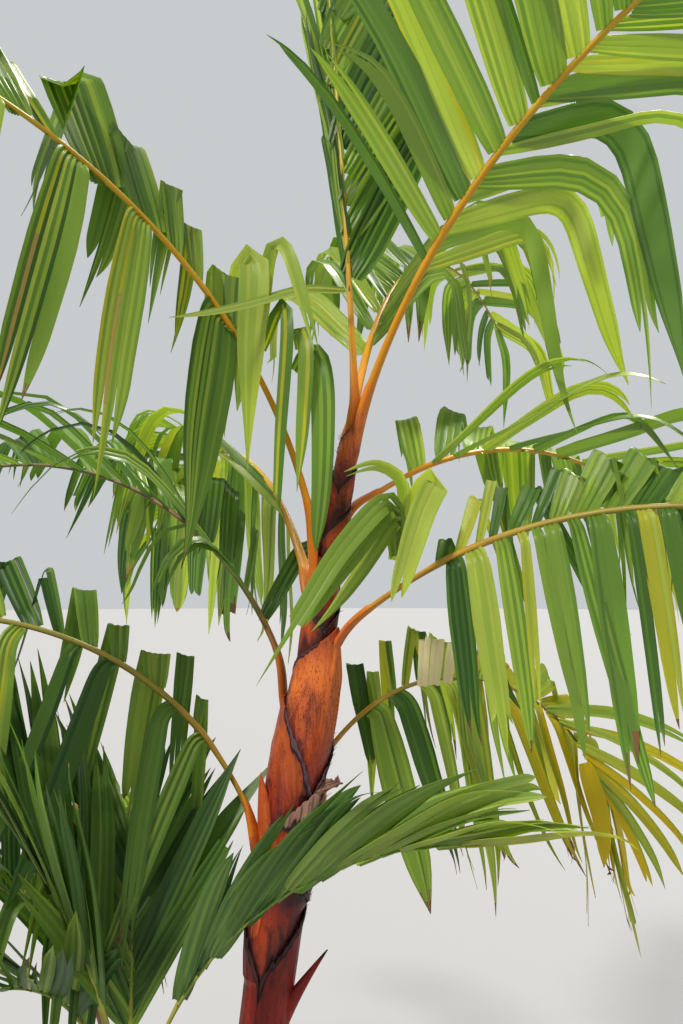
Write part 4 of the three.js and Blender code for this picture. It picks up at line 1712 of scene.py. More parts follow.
    def spines(self, handed: int) -> list:
        """The spines of one row of leaflets, by the same rule as the solids.

        Args:
            handed: 1 for the left side and -1 for the right.

        Returns:
            The spine of each leaflet.
        """
        habit = (self.left if handed > 0 else self.right).value
        share, size, key = (np.array(values, float) for values in zip(*self.row(handed)))

        def vary(channel: int, amount: float) -> np.ndarray:
            """A factor near 1 for each leaflet."""
            return 1 + amount * (2 * shake(self.seed, key + channel) - 1)

        points, tangents, normals, sides = self.rib()
        bare = self.petiole / self.length
        at = np.minimum(RIB_STEPS, np.round((bare + (1 - bare) * share) * RIB_STEPS).astype(int))
        loose = habit.loose
        sweep = np.radians(habit.sweep + max(0, 76 - habit.sweep) * share**2.5) * vary(1, 0.12 * loose)
        rise = np.radians(habit.rise * (1 - 0.4 * share) + 9 * loose * (2 * shake(self.seed, key + 2) - 1))
        start = (
            sides[at] * (handed * np.cos(sweep) * np.cos(rise))[:, None]
            + normals[at] * (np.cos(sweep) * np.sin(rise))[:, None]
            + tangents[at] * np.sin(sweep)[:, None]
        )
        fullness = np.sin(np.pi * np.minimum(1, 0.2 + share * 0.75))
        length = self.leaf * habit.long * (0.7 + 0.3 * fullness) * vary(3, 0.13) * (0.86 + 0.14 * size)
        width = self.wide * self.slim * habit.slim * (0.6 + 0.4 * fullness) * size * vary(4, 0.12)
        hang = np.minimum(habit.hang * vary(5, 0.12 * loose), 0.95)
        crease = habit.crease * vary(6, 0.36 * loose)
        soft = habit.soft * vary(11, 0.35)
        twist = np.radians(34) * (2 * shake(self.seed, key + 7) - 1)
        u = np.linspace(0, 1, SPINE_STEPS + 1)
        pull = (hang[:, None] * smooth((u - crease[:, None]) / soft[:, None]))[..., None]
        flat = tangents[at] * np.array([1.0, 1.0, 0.0])
        fall = unit(DOWN + flat * (habit.drift * (0.2 + 1.2 * shake(self.seed, key + 12)))[:, None])
        forward = unit(start[:, None] * (1 - pull) + fall[:, None] * pull)
        steps = forward * (length[:, None, None] / SPINE_STEPS)
        steps[:, 0] = 0
        edge = self.rib_radius(at / RIB_STEPS)
        root = points[at] + sides[at] * (0.6 * handed * edge)[:, None]
        root = root + normals[at] * (habit.seat * edge)[:, None]
        path = root[:, None] + np.cumsum(steps, axis=1)
        wide = np.empty_like(path)
        now = tangents[at] * -handed
        for i in range(SPINE_STEPS + 1):
            now = unit(now - forward[:, i] * (now * forward[:, i]).sum(-1, keepdims=True))
            wide[:, i] = now
        roll = -handed * math.radians(habit.roll) * np.minimum(1, 5 * u) + twist[:, None] * u
        turned = turned_about(wide, forward, roll)
        normal = np.cross(forward, turned)
        # A slow sideways bend and a wave keep the leaflets from lying all alike.
        bend = (2 * shake(self.seed, key + 9) - 1)[:, None] * 0.07 * u**2
        wave = 0.012 * np.sin(u * 8 + 6.28 * shake(self.seed, key + 10)[:, None]) * u
        path = path + (turned * bend[..., None] + normal * wave[..., None]) * length[:, None, None]
        each = zip(path, turned, normal, length, width, key, crease, soft, hang, share)
        return [Spine(*values) for values in each]

    def build_leaflets(self, materials: list) -> Object:
        """Makes both rows of leaflets as one mesh.

        Args:
            materials: the materials of the tones, in their order.

        Returns:
            The piece.
        """
        shell = Shell()
        for handed in (1, -1):
            for spine in self.spines(handed):
                reach = clear_length(spine.path)
                if reach > SHORTEST:
                    Leaflet(self, spine, reach).add_to(shell)
        for number, stray in enumerate(STRAYS):
            if stray.frond == self.name:
                Leaflet(self, stray.spine(number), 1.0).add_to(shell)
        return shell.mesh(self.name + "_leaflets", materials)


@dataclass(frozen=True)
class Stray:
    """A leaflet that hangs apart from its row, through places that are set one by one.

    Facing is the heading that its upper side looks to, and tone its place on the ladder of colours.
    """

    frond: str
    places: tuple
    width: float
    tone: float
    facing: float = -90.0
    dead: bool = False

    def spine(self, number: int) -> Spine:
        """Its spine, on a smooth curve through its places.

        Args:
            number: its number among the strays, which picks its draws.

        Returns:
            The spine.
        """
        knots = np.array(self.places, float)
        ends = np.concatenate([[2 * knots[0] - knots[1]], knots, [2 * knots[-1] - knots[-2]]])
        t = np.linspace(0, 1, 24, endpoint=False)[:, None]
        path = [
            0.5 * (2 * b + (c - a) * t + (2 * a - 5 * b + 4 * c - d) * t**2 + (3 * b - a - 3 * c + d) * t**3)
            for a, b, c, d in zip(ends, ends[1:], ends[2:], ends[3:])
        ]
        path = np.concatenate([*path, knots[-1:]])
        run = np.concatenate([[0], np.cumsum(np.linalg.norm(np.diff(path, axis=0), axis=-1))])
        even = np.linspace(0, run[-1], SPINE_STEPS + 1)
        path = np.stack([np.interp(even, run, path[:, k]) for k in range(3)], -1)
        forward = unit(np.gradient(path, axis=0))
        wide = unit(np.cross(heading_of(self.facing), forward))
        return Spine(
            path, wide, np.cross(forward, wide), run[-1], self.width, 9000.0 + 16 * number,
            crease=0.12, soft=0.3, hang=0.9, tone=self.tone, dead=self.dead,
        )


def clear_length(path: np.ndarray) -> float:
    """The share of a leaflet that stays clear of the main stem and its sheaths.

    Args:
        path: the points of its spine.

    Returns:
        1 where it is clear all along, or the share of its length up to the stem.
    """
    z = path[:, 2]
    away = np.linalg.norm((path - STEM.at(z))[:, :2], axis=-1)
    thick = np.where(z > STEM.height, 0, STEM.radius(np.clip(z, 0, STEM.height)) + 12)
    inside = (away < thick) & (np.linspace(0, 1, len(z)) > 0.12)
    return 1.0 if not inside.any() else max(0.0, inside.argmax() / len(z) - 0.04)


@dataclass
class Leaflet:
    """One pleated leaflet that splits into fingers towards its end."""

    frond: Frond
    spine: Spine
    reach: float

    def draw(self, channel: float) -> float:
        """A number from 0 to 1 for this leaflet."""
        return float(shake(self.frond.seed, self.spine.key + channel))

    def stations(self) -> np.ndarray:
        """Where the mesh has its rows, which lie close together at a sharp crease.

        Returns:
            Shares of the leaflet's length.
        """
        crease, soft = self.spine.crease, self.spine.soft
        if self.spine.hang < 0.35:
            return 1 - np.linspace(1, 0, 20) ** 1.25
        end = min(crease + soft, 0.85)
        rest = end + (1 - end) * (1 - np.linspace(1, 0, 13) ** 1.5)
        return np.concatenate([np.linspace(0, crease, 6)[:-1], np.linspace(crease, end, 7)[:-1], rest])

    def at(self, values: np.ndarray, u: np.ndarray) -> np.ndarray:
        """The spine's points or vectors at shares u of its length."""
        fine = np.linspace(0, 1, SPINE_STEPS + 1)
        return np.stack([np.interp(u, fine, values[:, k]) for k in range(3)], -1)

    def add_to(self, shell: Shell) -> None:
        """Adds the leaflet to a mesh, each finger a closed thin strip of pleats.

        Args:
            shell: the mesh.
        """
        leaf = self.spine
        pleats = int(np.clip(round(leaf.width / PLEAT_WIDTH), 2, 8))
        fingers = min(pleats, 1 + int(self.draw(11) * (1.2 + leaf.width / 24)))
        split = 0.5 + 0.36 * self.draw(12)
        bounds = np.round(np.linspace(0, pleats, fingers + 1)).astype(int)
        deep = 0.75 + 0.5 * self.draw(13)
        for f in range(fingers):
            own = bounds[f + 1] - bounds[f]
            low, high = 2 * bounds[f] / pleats - 1, 2 * bounds[f + 1] / pleats - 1
            centre, half_share = (low + high) / 2, (high - low) / 2
            # Outer fingers are shorter than inner ones, so the end is a ragged point.
            end = self.reach * (1 - 0.2 * abs(centre) - 0.1 * self.draw(20 + f))
            u = self.stations()
            if end > split:
                u = np.where(u > split, split + (u - split) * (end - split) / (1 - split), u)
            else:
                u = u * end
            wide, normal = unit(self.at(leaf.wide, u)), unit(self.at(leaf.normal, u))
            half = leaf.width * np.interp(u, *zip(*HALF_WIDTH))
            finger = np.clip((u - split) / max(end - split, 1e-3), 0, 1)
            taper = 1 - 0.95 * finger ** (1.35 + 1.2 * self.draw(30 + f))
            if leaf.dead:
                half = leaf.width * (0.42 + 0.06 * u)
                taper = 1 - 0.2 * finger
            across = np.linspace(-1, 1, 2 * own + 1)
            v = centre * (1 + 0.05 * finger)[:, None] + across * (half_share * taper)[:, None]
            lateral = half[:, None] * v
            ridge = np.where(np.arange(2 * own + 1) % 2 == 1, 1.0, 0.0)
            depth = (half / pleats) * (0.5 * np.exp(-u * 9) + 0.2) * deep * (0.3 + 0.7 * taper)
            camber = 0.2 * half[:, None] * (1 - v**2) * (1 - 0.6 * u[:, None])
            curl = leaf.length * 0.07 * (self.draw(40 + f) - 0.5) * finger**2
            height = depth[:, None] * ridge - camber + curl[:, None]
            top = self.at(leaf.path, u)[:, None] + wide[:, None] * lateral[..., None]
            top = top + normal[:, None] * height[..., None]
            back = top - normal[:, None] * (BLADE_THICKNESS * (1 - 0.5 * u))[:, None, None]
            run = (u * leaf.length)[:, None]
            uv = np.stack(np.broadcast_arrays(lateral + 500 * self.draw(50), run), -1)
            add_sheet(shell, top, back, self.slots(u, centre + across * half_share, end), uv)

    def slots(self, u: np.ndarray, v: np.ndarray, end: float) -> np.ndarray:
        """The material of every face of a finger: bands along it, painted light and shade on alternate pleat
        faces, dead tips, and their undersides.

        Args:
            u: the stations along the leaflet.
            v: the places of the columns across it, from -1 to 1.
            end: where this finger ends.

        Returns:
            A material index for each quad of sheet_faces.
        """
        look = self.frond.dress.value
        along, across = np.meshgrid((u[1:] + u[:-1]) / 2, (v[1:] + v[:-1]) / 2, indexing="ij")
        own = self.frond.seed + self.spine.key * 0.37
        # Bands keep their tone from end to end, as the veins do.
        own_tone = self.spine.tone
        calm = 1.0 if own_tone is None else 0.45
        bands = ripple(own, across * (1.6 + 0.05 * self.spine.width)) * look.streak * calm
        # Painted light and shade: the two faces of each pleat are set alternately 0.4 of a rung lighter and
        # darker, as where light falls on one side of a fold and not the other.
        painted_pleat_shade = 0.4 * np.where(np.arange(along.shape[1]) % 2 == 0, 1, -1)
        # The middle rises towards the blade's tip: painted light on the suckers' fronds, whose outer leaflets
        # are lighter as if sunlit, and yellowing with painted shade near the foot on old fronds.
        usual = look.middle + look.tip_light_and_yellowing * self.spine.share
        whole = usual + look.spread * (2 * self.draw(60) - 1) if own_tone is None else own_tone
        grid = 2 * np.clip(np.round(whole + bands + painted_pleat_shade), 0, len(LADDER) - 1).astype(int)
        if self.draw(64) < look.rust * calm:
            beside = np.abs(across - 1.2 * (self.draw(65) - 0.5)) * self.spine.width
            start = 0.1 + 0.25 * self.draw(66)
            ailing = (along > start) & (along < start + 0.25 + 0.4 * self.draw(67))
            grid[beside < 0.6 * PLEAT_WIDTH] = 2 * Tone.LIME.rung
            grid[(beside < 0.22 * PLEAT_WIDTH) & ailing] = STRAW_SLOT
        if self.spine.dead:
            grid[:] = BLEACHED_SLOT
            grid[along > 0.9] = STRAW_SLOT
        worn = calm == 1.0 and self.draw(61) < look.scorch
        ragged = 0.02 + 0.05 * self.draw(62) * (1.2 + ripple(own + 1, across * 6)) * (2.2 if worn else 0.25)
        dead = along > end - ragged
        if calm == 1.0 and self.draw(63) < 0.9 * look.scorch:
            grid[dead] = STRAW_SLOT
        if worn:
            grid[along > end - 0.55 * ragged] = SCORCH_SLOT
        under = np.where(grid < SCORCH_SLOT, grid + 1, grid)
        return np.concatenate([grid.ravel(), under.ravel(), grid[:, 0], grid[:, -1], grid[0], grid[-1]])


SHEATHS = (
    Sheath("sheath_oldest", 0, 215, 400, 745, 170, (43, 43, 42.5), 0.5, 0, 1, SheathLook.RED, 21),
    Sheath("sheath_dead", 95, -108, 590, 965, 130, (37.5, 40, 42), 0.55, 0, 1, SheathLook.RED, 22, 2.1, 17),
    Sheath("sheath_low_left", 192, 20, 815, 1030, 100, (38, 41, 40), 0.6, 5, 6, SheathLook.DUSKY, 23,
           buried=90),
    Sheath("sheath_low_right", 15, -125, 935, 1168, 88, (37.5, 42, 40.5), 0.62, 15, 5, SheathLook.LEATHERY,
           24, 1.2, 56, 7, narrowing=0.8),
    Sheath("sheath_mid_left", 160, -48, 1002, 1292, 165, (36, 43, 36), 0.5, 4, 6, SheathLook.BURNT, 25,
           2.0, 19, 2, speckle=40000),
    Sheath("sheath_mid_right", -22, 165, 1112, 1408, 72, (34, 42.5, 31), 0.58, 9, 3, SheathLook.ORANGE, 26,
           1.0, 8, 2, speckle=90000),
    Sheath("sheath_back_low", 112, -70, 1340, 1462, 60, (27, 29, 29), 0.5, 0, 2, SheathLook.EMBER, 27,
           husk=5, curl=1.2, rows=44, columns=84),
    Sheath("sheath_upper_left", 205, 25, 1412, 1530, 70, (26, 27.5, 26.8), 0.5, 2, 3, SheathLook.EMBER, 28,
           husk=5, curl=1.2, buried=4, rows=44, columns=84),
    Sheath("sheath_back_right", 36, -140, 1500, 1615, 60, (22.5, 23.5, 21.5), 0.5, 1, 2, SheathLook.EMBER, 29,
           husk=5, curl=1.2, rows=40, columns=76),
    Sheath("sheath_back_high", 72, -100, 1580, 1690, 50, (19, 19.5, 18.5), 0.5, 0, 2, SheathLook.EMBER, 30,
           husk=4, curl=1.0, rows=40, columns=72),
    Sheath("sheath_upper_right", -18, 160, 1650, 1755, 50, (15.5, 16.5, 14.5), 0.5, 1, 2, SheathLook.ORANGE,
           31, husk=4, curl=1.0, rows=40, columns=64),
)

FRONDS = (
    Frond("frond_upper_right", 1705, -18, 76, 83, -34, 1550, 330, 17, 560, 52, 10.5, Habit.SPREAD,
          Habit.RAISED, 1, Dress.BRIGHT, Shade.ORANGE, 1.6),
    Frond("frond_spear", 1790, 112, 84, 16, -14, 1280, 200, 11, 560, 76, 6.5, Habit.CLOSED, Habit.SPEARED,
          2, Dress.YOUNG, Shade.GOLD),
    Frond("frond_upper_left", 1500, 208, 83, 114, 32, 1550, 400, 14, 450, 72, 8, Habit.TORN, Habit.UPRIGHT,
          3, Dress.STREAKED, Shade.ORANGE, 1.0),
    Frond("frond_mid_right", 1372, -22, 44, 99, 3, 1420, 250, 14, 440, 68, 8.4, Habit.FOLDED, Habit.PLUMB,
          4, Dress.MATURE, Shade.FADED, 2.1, slim=0.64),
    Frond("frond_back_right", 1588, 36, 37, 99, -1, 1350, 200, 13, 440, 58, 7.5, Habit.ARCHED, Habit.SLACK,
          5, Dress.SUNNY, Shade.ORANGE),
    Frond("frond_mid_left", 1262, 156, 76, 118, 12, 1215, 150, 12, 425, 58, 7, Habit.WISPY, Habit.AIRY,
          6, Dress.DARK, Shade.BROWN, 1.9, 12),
    Frond("frond_low_left", 985, 192, 80, 131, 4, 1250, 260, 12, 420, 52, 8.5, Habit.SPARSE, Habit.FOLDED,
          7, Dress.SHADED, Shade.FADED, neck=15, yaw=-58, drawn=20),
    Frond("frond_low_right", 1126, 40, 58, 128, -25, 850, 170, 10, 430, 56, 6.5, Habit.FOLDED, Habit.DRAPED,
          8, Dress.OLD, Shade.FADED, drawn=-27),
    Frond("frond_back_high", 1652, 72, 72, 96, -8, 1450, 280, 13, 480, 56, 9.5, Habit.ARCHED, Habit.ARCHED,
          9, Dress.BRIGHT, Shade.ORANGE),
    Frond("frond_back_low", 1422, 112, 58, 98, 6, 1300, 240, 12, 440, 56, 9.5, Habit.ARCHED, Habit.DRAPED,
          10, Dress.MATURE, Shade.GOLD),
)


# Leaflets that fall across the stem, or stand apart from their rows, by the frond that they are part of.
STRAYS = tuple(Stray(frond, *sizes) for frond, group in {
    "frond_upper_left": (
        (((27, -62, 1923), (52, -80, 2009), (68, -110, 1993), (64, -125, 1839), (59, -130, 1652)), 50, 6.6),
        (((78, -60, 1869), (110, -80, 1942), (122, -110, 1891), (112, -125, 1710),
           (105, -130, 1538)), 22, 3.4),
        (((78, -70, 1901), (92, -90, 2022), (119, -120, 2024), (149, -140, 1932),
           (186, -150, 1789)), 24, 6.0),
        (((133, -40, 1836), (161, -60, 1866), (178, -90, 1813), (179, -110, 1663),
           (166, -120, 1506)), 40, 3.6),
        (((140, -50, 1872), (141, -70, 1901), (152, -100, 1860), (148, -110, 1744),
           (138, -120, 1614)), 26, 4.6),
    ),
    "frond_spear": (
        (((216, -10, 1985), (141, -60, 1971), (65, -150, 1923), (-59, -260, 1863)), 17, 6.4, 80),
    ),
    "frond_mid_right": (
        (((303, -60, 1533), (338, -80, 1621), (363, -110, 1646), (332, -150, 1581),
           (274, -180, 1392)), 46, 6.8),
        (((294, -50, 1520), (311, -90, 1633), (271, -120, 1669), (215, -160, 1652),
           (180, -180, 1630)), 22, 6.4),
        (((300, -60, 1526), (288, -110, 1612), (215, -190, 1541), (149, -240, 1437),
           (89, -280, 1339)), 36, 4.8),
        (((306, -60, 1531), (295, -100, 1600), (226, -170, 1518), (163, -210, 1436),
           (121, -230, 1377)), 24, 5.4),
        (((315, -60, 1535), (301, -90, 1584), (242, -140, 1503), (202, -170, 1450),
           (162, -190, 1407)), 26, 6.0),
    ),
    "frond_low_right": (
        (((352, 60, 1300), (354, 50, 1355), (356, 40, 1403)), 22, 9, -90, True),
        (((372, 60, 1302), (376, 46, 1355), (380, 38, 1396)), 24, 9, -90, True),
        (((396, 64, 1306), (400, 48, 1352), (406, 44, 1388)), 20, 9, -90, True),
        (((616, 285, 1230), (742, 272, 1224), (850, 260, 1190), (948, 250, 1128)), 24, 5.6),
        (((640, 288, 1208), (748, 270, 1172), (852, 250, 1106), (930, 235, 1024)), 15, 6.6),
        (((650, 290, 1198), (772, 278, 1170), (882, 268, 1116), (972, 262, 1046)), 20, 8.6),
        (((676, 295, 1162), (780, 285, 1108), (876, 275, 1040), (940, 268, 970)), 22, 7.4),
        (((690, 298, 1142), (780, 288, 1076), (858, 278, 1000), (910, 270, 924)), 16, 9),
        (((704, 300, 1120), (780, 292, 1048), (842, 284, 970), (884, 278, 894)), 22, 8.2),
        (((716, 303, 1100), (776, 296, 1018), (822, 288, 938), (852, 282, 858)), 18, 6.4),
        (((726, 304, 1084), (770, 298, 1004), (802, 290, 926), (826, 284, 846)), 20, 9),
        (((690, 292, 1124), (714, 262, 1020), (716, 250, 922)), 38, 9),
    ),
}.items() for sizes in group)


@dataclass(frozen=True)
class Stub:
    """A flat spike of hide: the broken red stalk of the oldest sheath, or an ear beside a stalk."""

    name: str = "stub"
    look: SheathLook = SheathLook.RED
    foot: float = 680
    tip: float = 880
    root: float = -10
    reach: float = 92
    heading: float = -14
    width: float = 27
    thickness: float = 42
    sides: int = 18
    rings: int = 40
    blunt: float = 0.85
    soot: float = 0.55

    def build(self, materials: dict) -> Object:
        """Makes it as a flat, curved spike with a grooved back.

        Args:
            materials: the material of each look.

        Returns:
            The piece.
        """
        share = np.linspace(0, 1, self.rings)
        bend = share**1.3
        out, across = heading_of(self.heading), heading_of(self.heading + 90)
        centre = STEM.at(self.foot + (self.tip - self.foot) * share)
        centre = centre + out * (self.root + (self.reach - self.root) * bend)[:, None]
        taper = 1 - 0.96 * share**self.blunt
        angle = 2 * math.pi * np.arange(self.sides) / self.sides
        groove = 1 - 0.3 * np.clip(-np.cos(angle), 0, 1) ** 2
        x = self.thickness * taper[:, None] * np.cos(angle) * groove
        y = self.width * taper[:, None] * np.sin(angle) * (1 + 0.1 * ripple(6, share * 6)[:, None])
        rings = centre[:, None] + out * x[..., None] + across * y[..., None]
        burnt = self.soot * smooth((share - 0.75) / 0.25)
        shell = Shell()
        add_tube(shell, rings, 0, climb=(0.7 - 0.3 * share)[:, None], edge=burnt[:, None])
        return shell.mesh(self.name, [materials[self.look]])


EAR = Stub("low_left_ear", SheathLook.ORANGE, 1018, 1168, 30, 66, 204, 20, 17, blunt=2.6, soot=0.15)


@dataclass(frozen=True)
class Sucker:
    """A sucker: a thin stem, one orange sheath and young fronds."""

    name: str
    foot: tuple
    top: tuple
    girth: tuple
    sheath: tuple
    fronds: tuple
    sides: int = 32
    scar_spacing: float = 46

    def at(self, share: Number) -> np.ndarray:
        """The axis at shares of the way from foot to top."""
        foot, top = np.array(self.foot, float), np.array(self.top, float)
        return foot + (top - foot) * np.asarray(share, float)[..., None]

    def radius(self, share: Number) -> Number:
        """The stem's radius at shares of the way from foot to top."""
        foot, middle, tip = self.girth
        return np.interp(share, (0, 0.12, 0.55, 1), (foot, middle + 4, middle - 3, tip - 2))

    def rings(self, share: np.ndarray, radius: np.ndarray) -> np.ndarray:
        """Rings round the axis.

        Args:
            share: where each ring lies.
            radius: radii, as rings by sides.

        Returns:
            Points as rings by sides by three.
        """
        turn = np.linspace(0, 360, self.sides, endpoint=False)
        return self.at(share)[:, None] + heading_of(turn)[None] * radius[..., None]

    def build_stem(self, bark: Material) -> Object:
        """Makes the stem, with a few ring scars.

        Args:
            bark: its material.

        Returns:
            The piece.
        """
        share = np.linspace(0, 1, 160)
        height = share * self.top[2]
        phase = height / self.scar_spacing
        near = np.abs(phase - np.round(phase)) * self.scar_spacing
        scar = np.exp(-((near / 2.6) ** 2)) * smooth((height - 30) / 30)
        wide = np.repeat((self.radius(share) + 0.9 * scar)[:, None], self.sides, axis=1)
        shell = Shell()
        add_tube(shell, self.rings(share, wide), 0, scar=scar[:, None])
        return shell.mesh(self.name + "_cane", [bark])

    def build_scars(self, rings: ScarRings, dried: Material) -> Object:
        """Makes the rings of old leaf scars below its sheath."""
        share = np.linspace(self.scar_spacing / self.top[2], self.sheath[0] / self.top[2], 40)
        return rings.build(self.name + "_scars", self.at(share), self.radius(share) + 0.3, dried)

    def build_sheath(self, materials: dict) -> Object:
        """Makes the sheath as a smooth sleeve round the stem.

        Args:
            materials: the material of each look.

        Returns:
            The piece.
        """
        low, high = (z / self.top[2] for z in self.sheath)
        _, middle, tip = self.girth
        share = np.linspace(0, 1, 60)
        at = low + (high - low) * share
        turn = np.linspace(0, 360, self.sides, endpoint=False)
        radius = np.interp(share, (0, 0.5, 1), (middle + 3, middle + 6, tip + 4))
        fluted = radius[:, None] + 0.6 * ripple(self.girth[0], turn / 12)[None] * smooth(share * 4)[:, None]
        ends = np.minimum(share, 1 - share) * (self.sheath[1] - self.sheath[0])
        shell = Shell()
        add_tube(shell, self.rings(at, fluted), 0, climb=share[:, None], edge=np.exp(-ends / 7)[:, None])
        return shell.mesh(self.name + "_sleeve", [materials[SheathLook.ORANGE]])


def young(sucker: tuple, drop: float, name: str, *sizes: object) -> Frond:
    """A sucker's frond.

    Args:
        sucker: the foot and top of the sucker.
        drop: how far below the top it leaves.
        name: the frond's name.
        *sizes: the other values of a Frond, from its heading on.

    Returns:
        The frond, with its origin on the sucker.
    """
    foot, top = (np.array(end, float) for end in sucker)
    origin = foot + (top - foot) * (top[2] - drop) / top[2]
    return Frond(name, 0, *sizes, finer=2.6, slim=0.54, origin=tuple(origin))


FRONT = ((-72, -66, 0), (-108, -165, 690))
SIDE = ((-94, 18, 0), (-185, 20, 640))
SUCKERS = (
    Sucker("sucker_front", *FRONT, (27, 17, 11), (330, 610), (
        young(FRONT, 56, "sucker_front_frond_right", -12, 85, 84, 3, 768, 225, 6.4, 334, 74, 6.5, Habit.LEVEL,
              Habit.TUCKED, 11, Dress.JUVENILE, Shade.GREEN),
        young(FRONT, 30, "sucker_front_frond_left", 196, 84, 40, -25, 640, 200, 6, 450, 70, 6.5, Habit.CUPPED,
              Habit.CUPPED, 12, Dress.DARK, Shade.GREEN),
        young(FRONT, 0, "sucker_front_frond_back", 95, 88, 42, 10, 400, 110, 5, 350, 66, 6, Habit.FANNED,
              Habit.FANNED, 13, Dress.DARK, Shade.GREEN),
    )),
    Sucker("sucker_side", *SIDE, (25, 16, 10), (300, 560), (
        young(SIDE, 50, "sucker_side_frond_left", 182, 95, 112, 5, 820, 180, 8, 380, 56, 6, Habit.ARCHED,
              Habit.STIFF, 14, Dress.DARK, Shade.BROWN),
        young(SIDE, 25, "sucker_side_frond_back", 115, 74, 90, 0, 760, 170, 7, 380, 56, 6, Habit.FANNED,
              Habit.ARCHED, 15, Dress.DARK, Shade.GREEN),
        young(SIDE, 0, "sucker_side_frond_front", 248, 74, 85, 0, 560, 140, 6, 330, 52, 5.5, Habit.FANNED,
              Habit.FANNED, 16, Dress.DARK, Shade.GREEN),
    )),
)


# The stage, and the whole plant.


@dataclass(frozen=True)
class Stage:
    """Plain pale floor, soft studio light, and the camera of the photograph."""

    camera_place: tuple = (0.21, -1.70, 1.50)
    pitch: float = 3.45
    lens: float = 35.0
    sensor: float = 36.0
    clip: tuple = (0.02, 200.0)
    floor_radius: float = 40.0
    floor_height: float = -0.002
    floor_sides: int = 64
    sky: str = "#EAEEF0"
    sky_strength: float = 0.7

    def build(self) -> None:
        """Makes the floor, the lights, the surroundings and the camera."""
        turn = np.linspace(0, 2 * math.pi, self.floor_sides, endpoint=False)
        reach = self.floor_radius
        rim = [(reach * math.cos(a), reach * math.sin(a), self.floor_height) for a in turn]
        mesh = bpy.data.meshes.new("floor")
        mesh.from_pydata(rim, [], [tuple(range(len(rim)))])
        mesh.materials.append(FloorFinish().build())
        add_object("floor", mesh)
        self.sun("key", (-2.4, -3.6, 5.2), 3.0, 8, "#FFF8EE")
        self.sun("back", (2.2, 3.0, 4.8), 5.2, 7, "#FFF9F0")
        world = bpy.data.worlds.new("studio")
        world.use_nodes = True
        sky = world.node_tree.nodes["Background"]
        sky.inputs["Color"].default_value = linear(self.sky)
        sky.inputs["Strength"].default_value = self.sky_strength
        data = bpy.data.cameras.new("camera")
        data.lens, data.sensor_width = self.lens, self.sensor
        data.clip_start, data.clip_end = self.clip
        camera = add_object("camera", data)
        camera.location = self.camera_place
        camera.rotation_euler = (math.radians(90 + self.pitch), 0, 0)
        scene = bpy.context.scene
        scene.world, scene.camera = world, camera
        scene.view_settings.view_transform = "Standard"

    def sun(self, name: str, place: tuple, strength: float, spread: float, colour: str) -> None:
        """Adds a distant soft light.

        Args:
            name: its name.
            place: where it stands, from the middle of the plant.
            strength: its strength.
            spread: how wide it looks, in degrees.
            colour: its sRGB colour.
        """
        data = bpy.data.lights.new(name, "SUN")
        data.energy, data.angle = strength, math.radians(spread)
        data.color = linear(colour)[:3]
        lamp = add_object(name, data)
        lamp.location = place
        lamp.rotation_euler = Vector(place).to_track_quat("Z", "Y").to_euler()


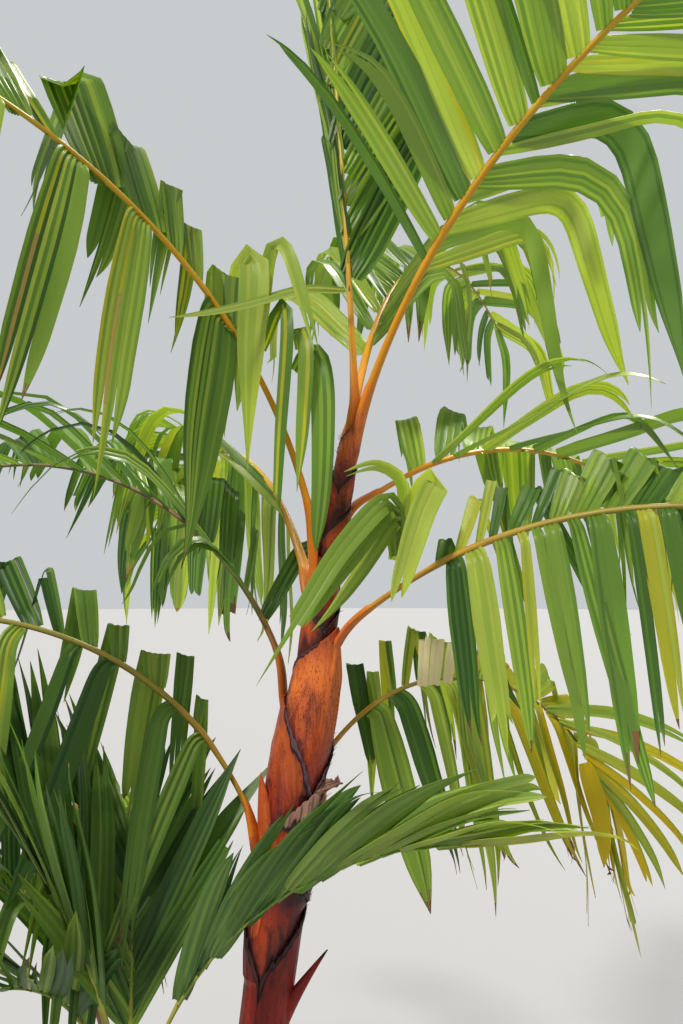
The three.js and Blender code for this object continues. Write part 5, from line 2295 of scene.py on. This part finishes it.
@dataclass
class Palm:
    """The whole plant: its materials, and the pieces that stand for the frame's nodes."""

    bark: Material = None
    tones: list = field(default_factory=list)
    hides: dict = field(default_factory=dict)
    rinds: dict = field(default_factory=dict)
    ring: Material = None
    fibre: Material = None
    scurf: Material = None

    def dress(self) -> None:
        """Makes every material."""
        self.bark = BarkFinish("stem", "#4C5A34", "#6B5642", "#9A917C", "#A8977C").build()
        self.tones = leaf_materials()
        self.hides = {look: look.value.build() for look in SheathLook}
        self.rinds = {shade: shade.value.build() for shade in Shade}
        self.ring = DryFinish("ring", "#A38F72", 0.85).build()
        self.fibre = DryFinish("fibre", "#2E1D18", 0.8, 1.5).build()
        self.scurf = DryFinish("scurf", "#241416", 0.7, 1.5).build()

    def settle(self, piece: Object, slot: str, *nodes: str) -> None:
        """Ties a piece to the frame and reports it.

        Args:
            piece: the piece.
            slot: the name of its material slot, which is not used.
            *nodes: the frame's nodes that it stands for.
        """
        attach(piece, ROOT)
        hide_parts(*nodes)
        faces = len(piece.data.polygons)
        log.info("%s: %d faces, stands for %s", piece.name, faces, ", ".join(nodes))

    def build(self) -> None:
        """Makes every piece, from the stem up."""
        rings, fibres, flecks = ScarRings(), MarginFibres(), ScurfFlecks()
        self.settle(STEM.build(self.bark), "stem_bark", "trunk")
        self.settle(STEM.build_scars(rings, self.ring), "stem_bark", "trunk")
        for sheath in SHEATHS:
            slot = "dead_sheath" if sheath.look is SheathLook.RED else "crownshaft"
            self.settle(sheath.build(self.hides), slot, sheath.name)
            self.settle(sheath.build_flecks(flecks, self.scurf), slot, sheath.name)
            self.settle(sheath.build_fibres(fibres, self.fibre), slot, sheath.name)
        self.settle(Scroll().build(self.hides), "crownshaft", "sheath_low_right")
        self.settle(Stub().build(self.hides), "dead_sheath", "petiole_stub")
        self.settle(EAR.build(self.hides), "leaf", "frond_low_left")
        for sucker in SUCKERS:
            self.settle(sucker.build_stem(self.bark), "stem_bark", sucker.name + "_stem")
            self.settle(sucker.build_scars(rings, self.ring), "stem_bark", sucker.name + "_stem")
            self.settle(sucker.build_sheath(self.hides), "crownshaft", sucker.name + "_sheath")
        for frond in (*FRONDS, *(f for sucker in SUCKERS for f in sucker.fronds)):
            slot = "old_leaf" if frond.dress is Dress.OLD else "leaf"
            self.settle(frond.build_stalk(self.rinds, self.hides), slot, frond.name)
            self.settle(frond.build_leaflets(self.tones), slot, frond.name)


def corners(box: tuple) -> list:
    """The corners of a box as plain lists."""
    return [list(corner) for corner in box]


def main() -> None:
    """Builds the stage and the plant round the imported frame."""
    logging.basicConfig(level=logging.INFO, format="%(message)s")
    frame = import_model()
    log.info("the frame has %d nodes", len(frame["nodes"]))
    palm = Palm()
    palm.dress()
    palm.build()
    Stage().build()


if __name__ == "__main__":
    main()
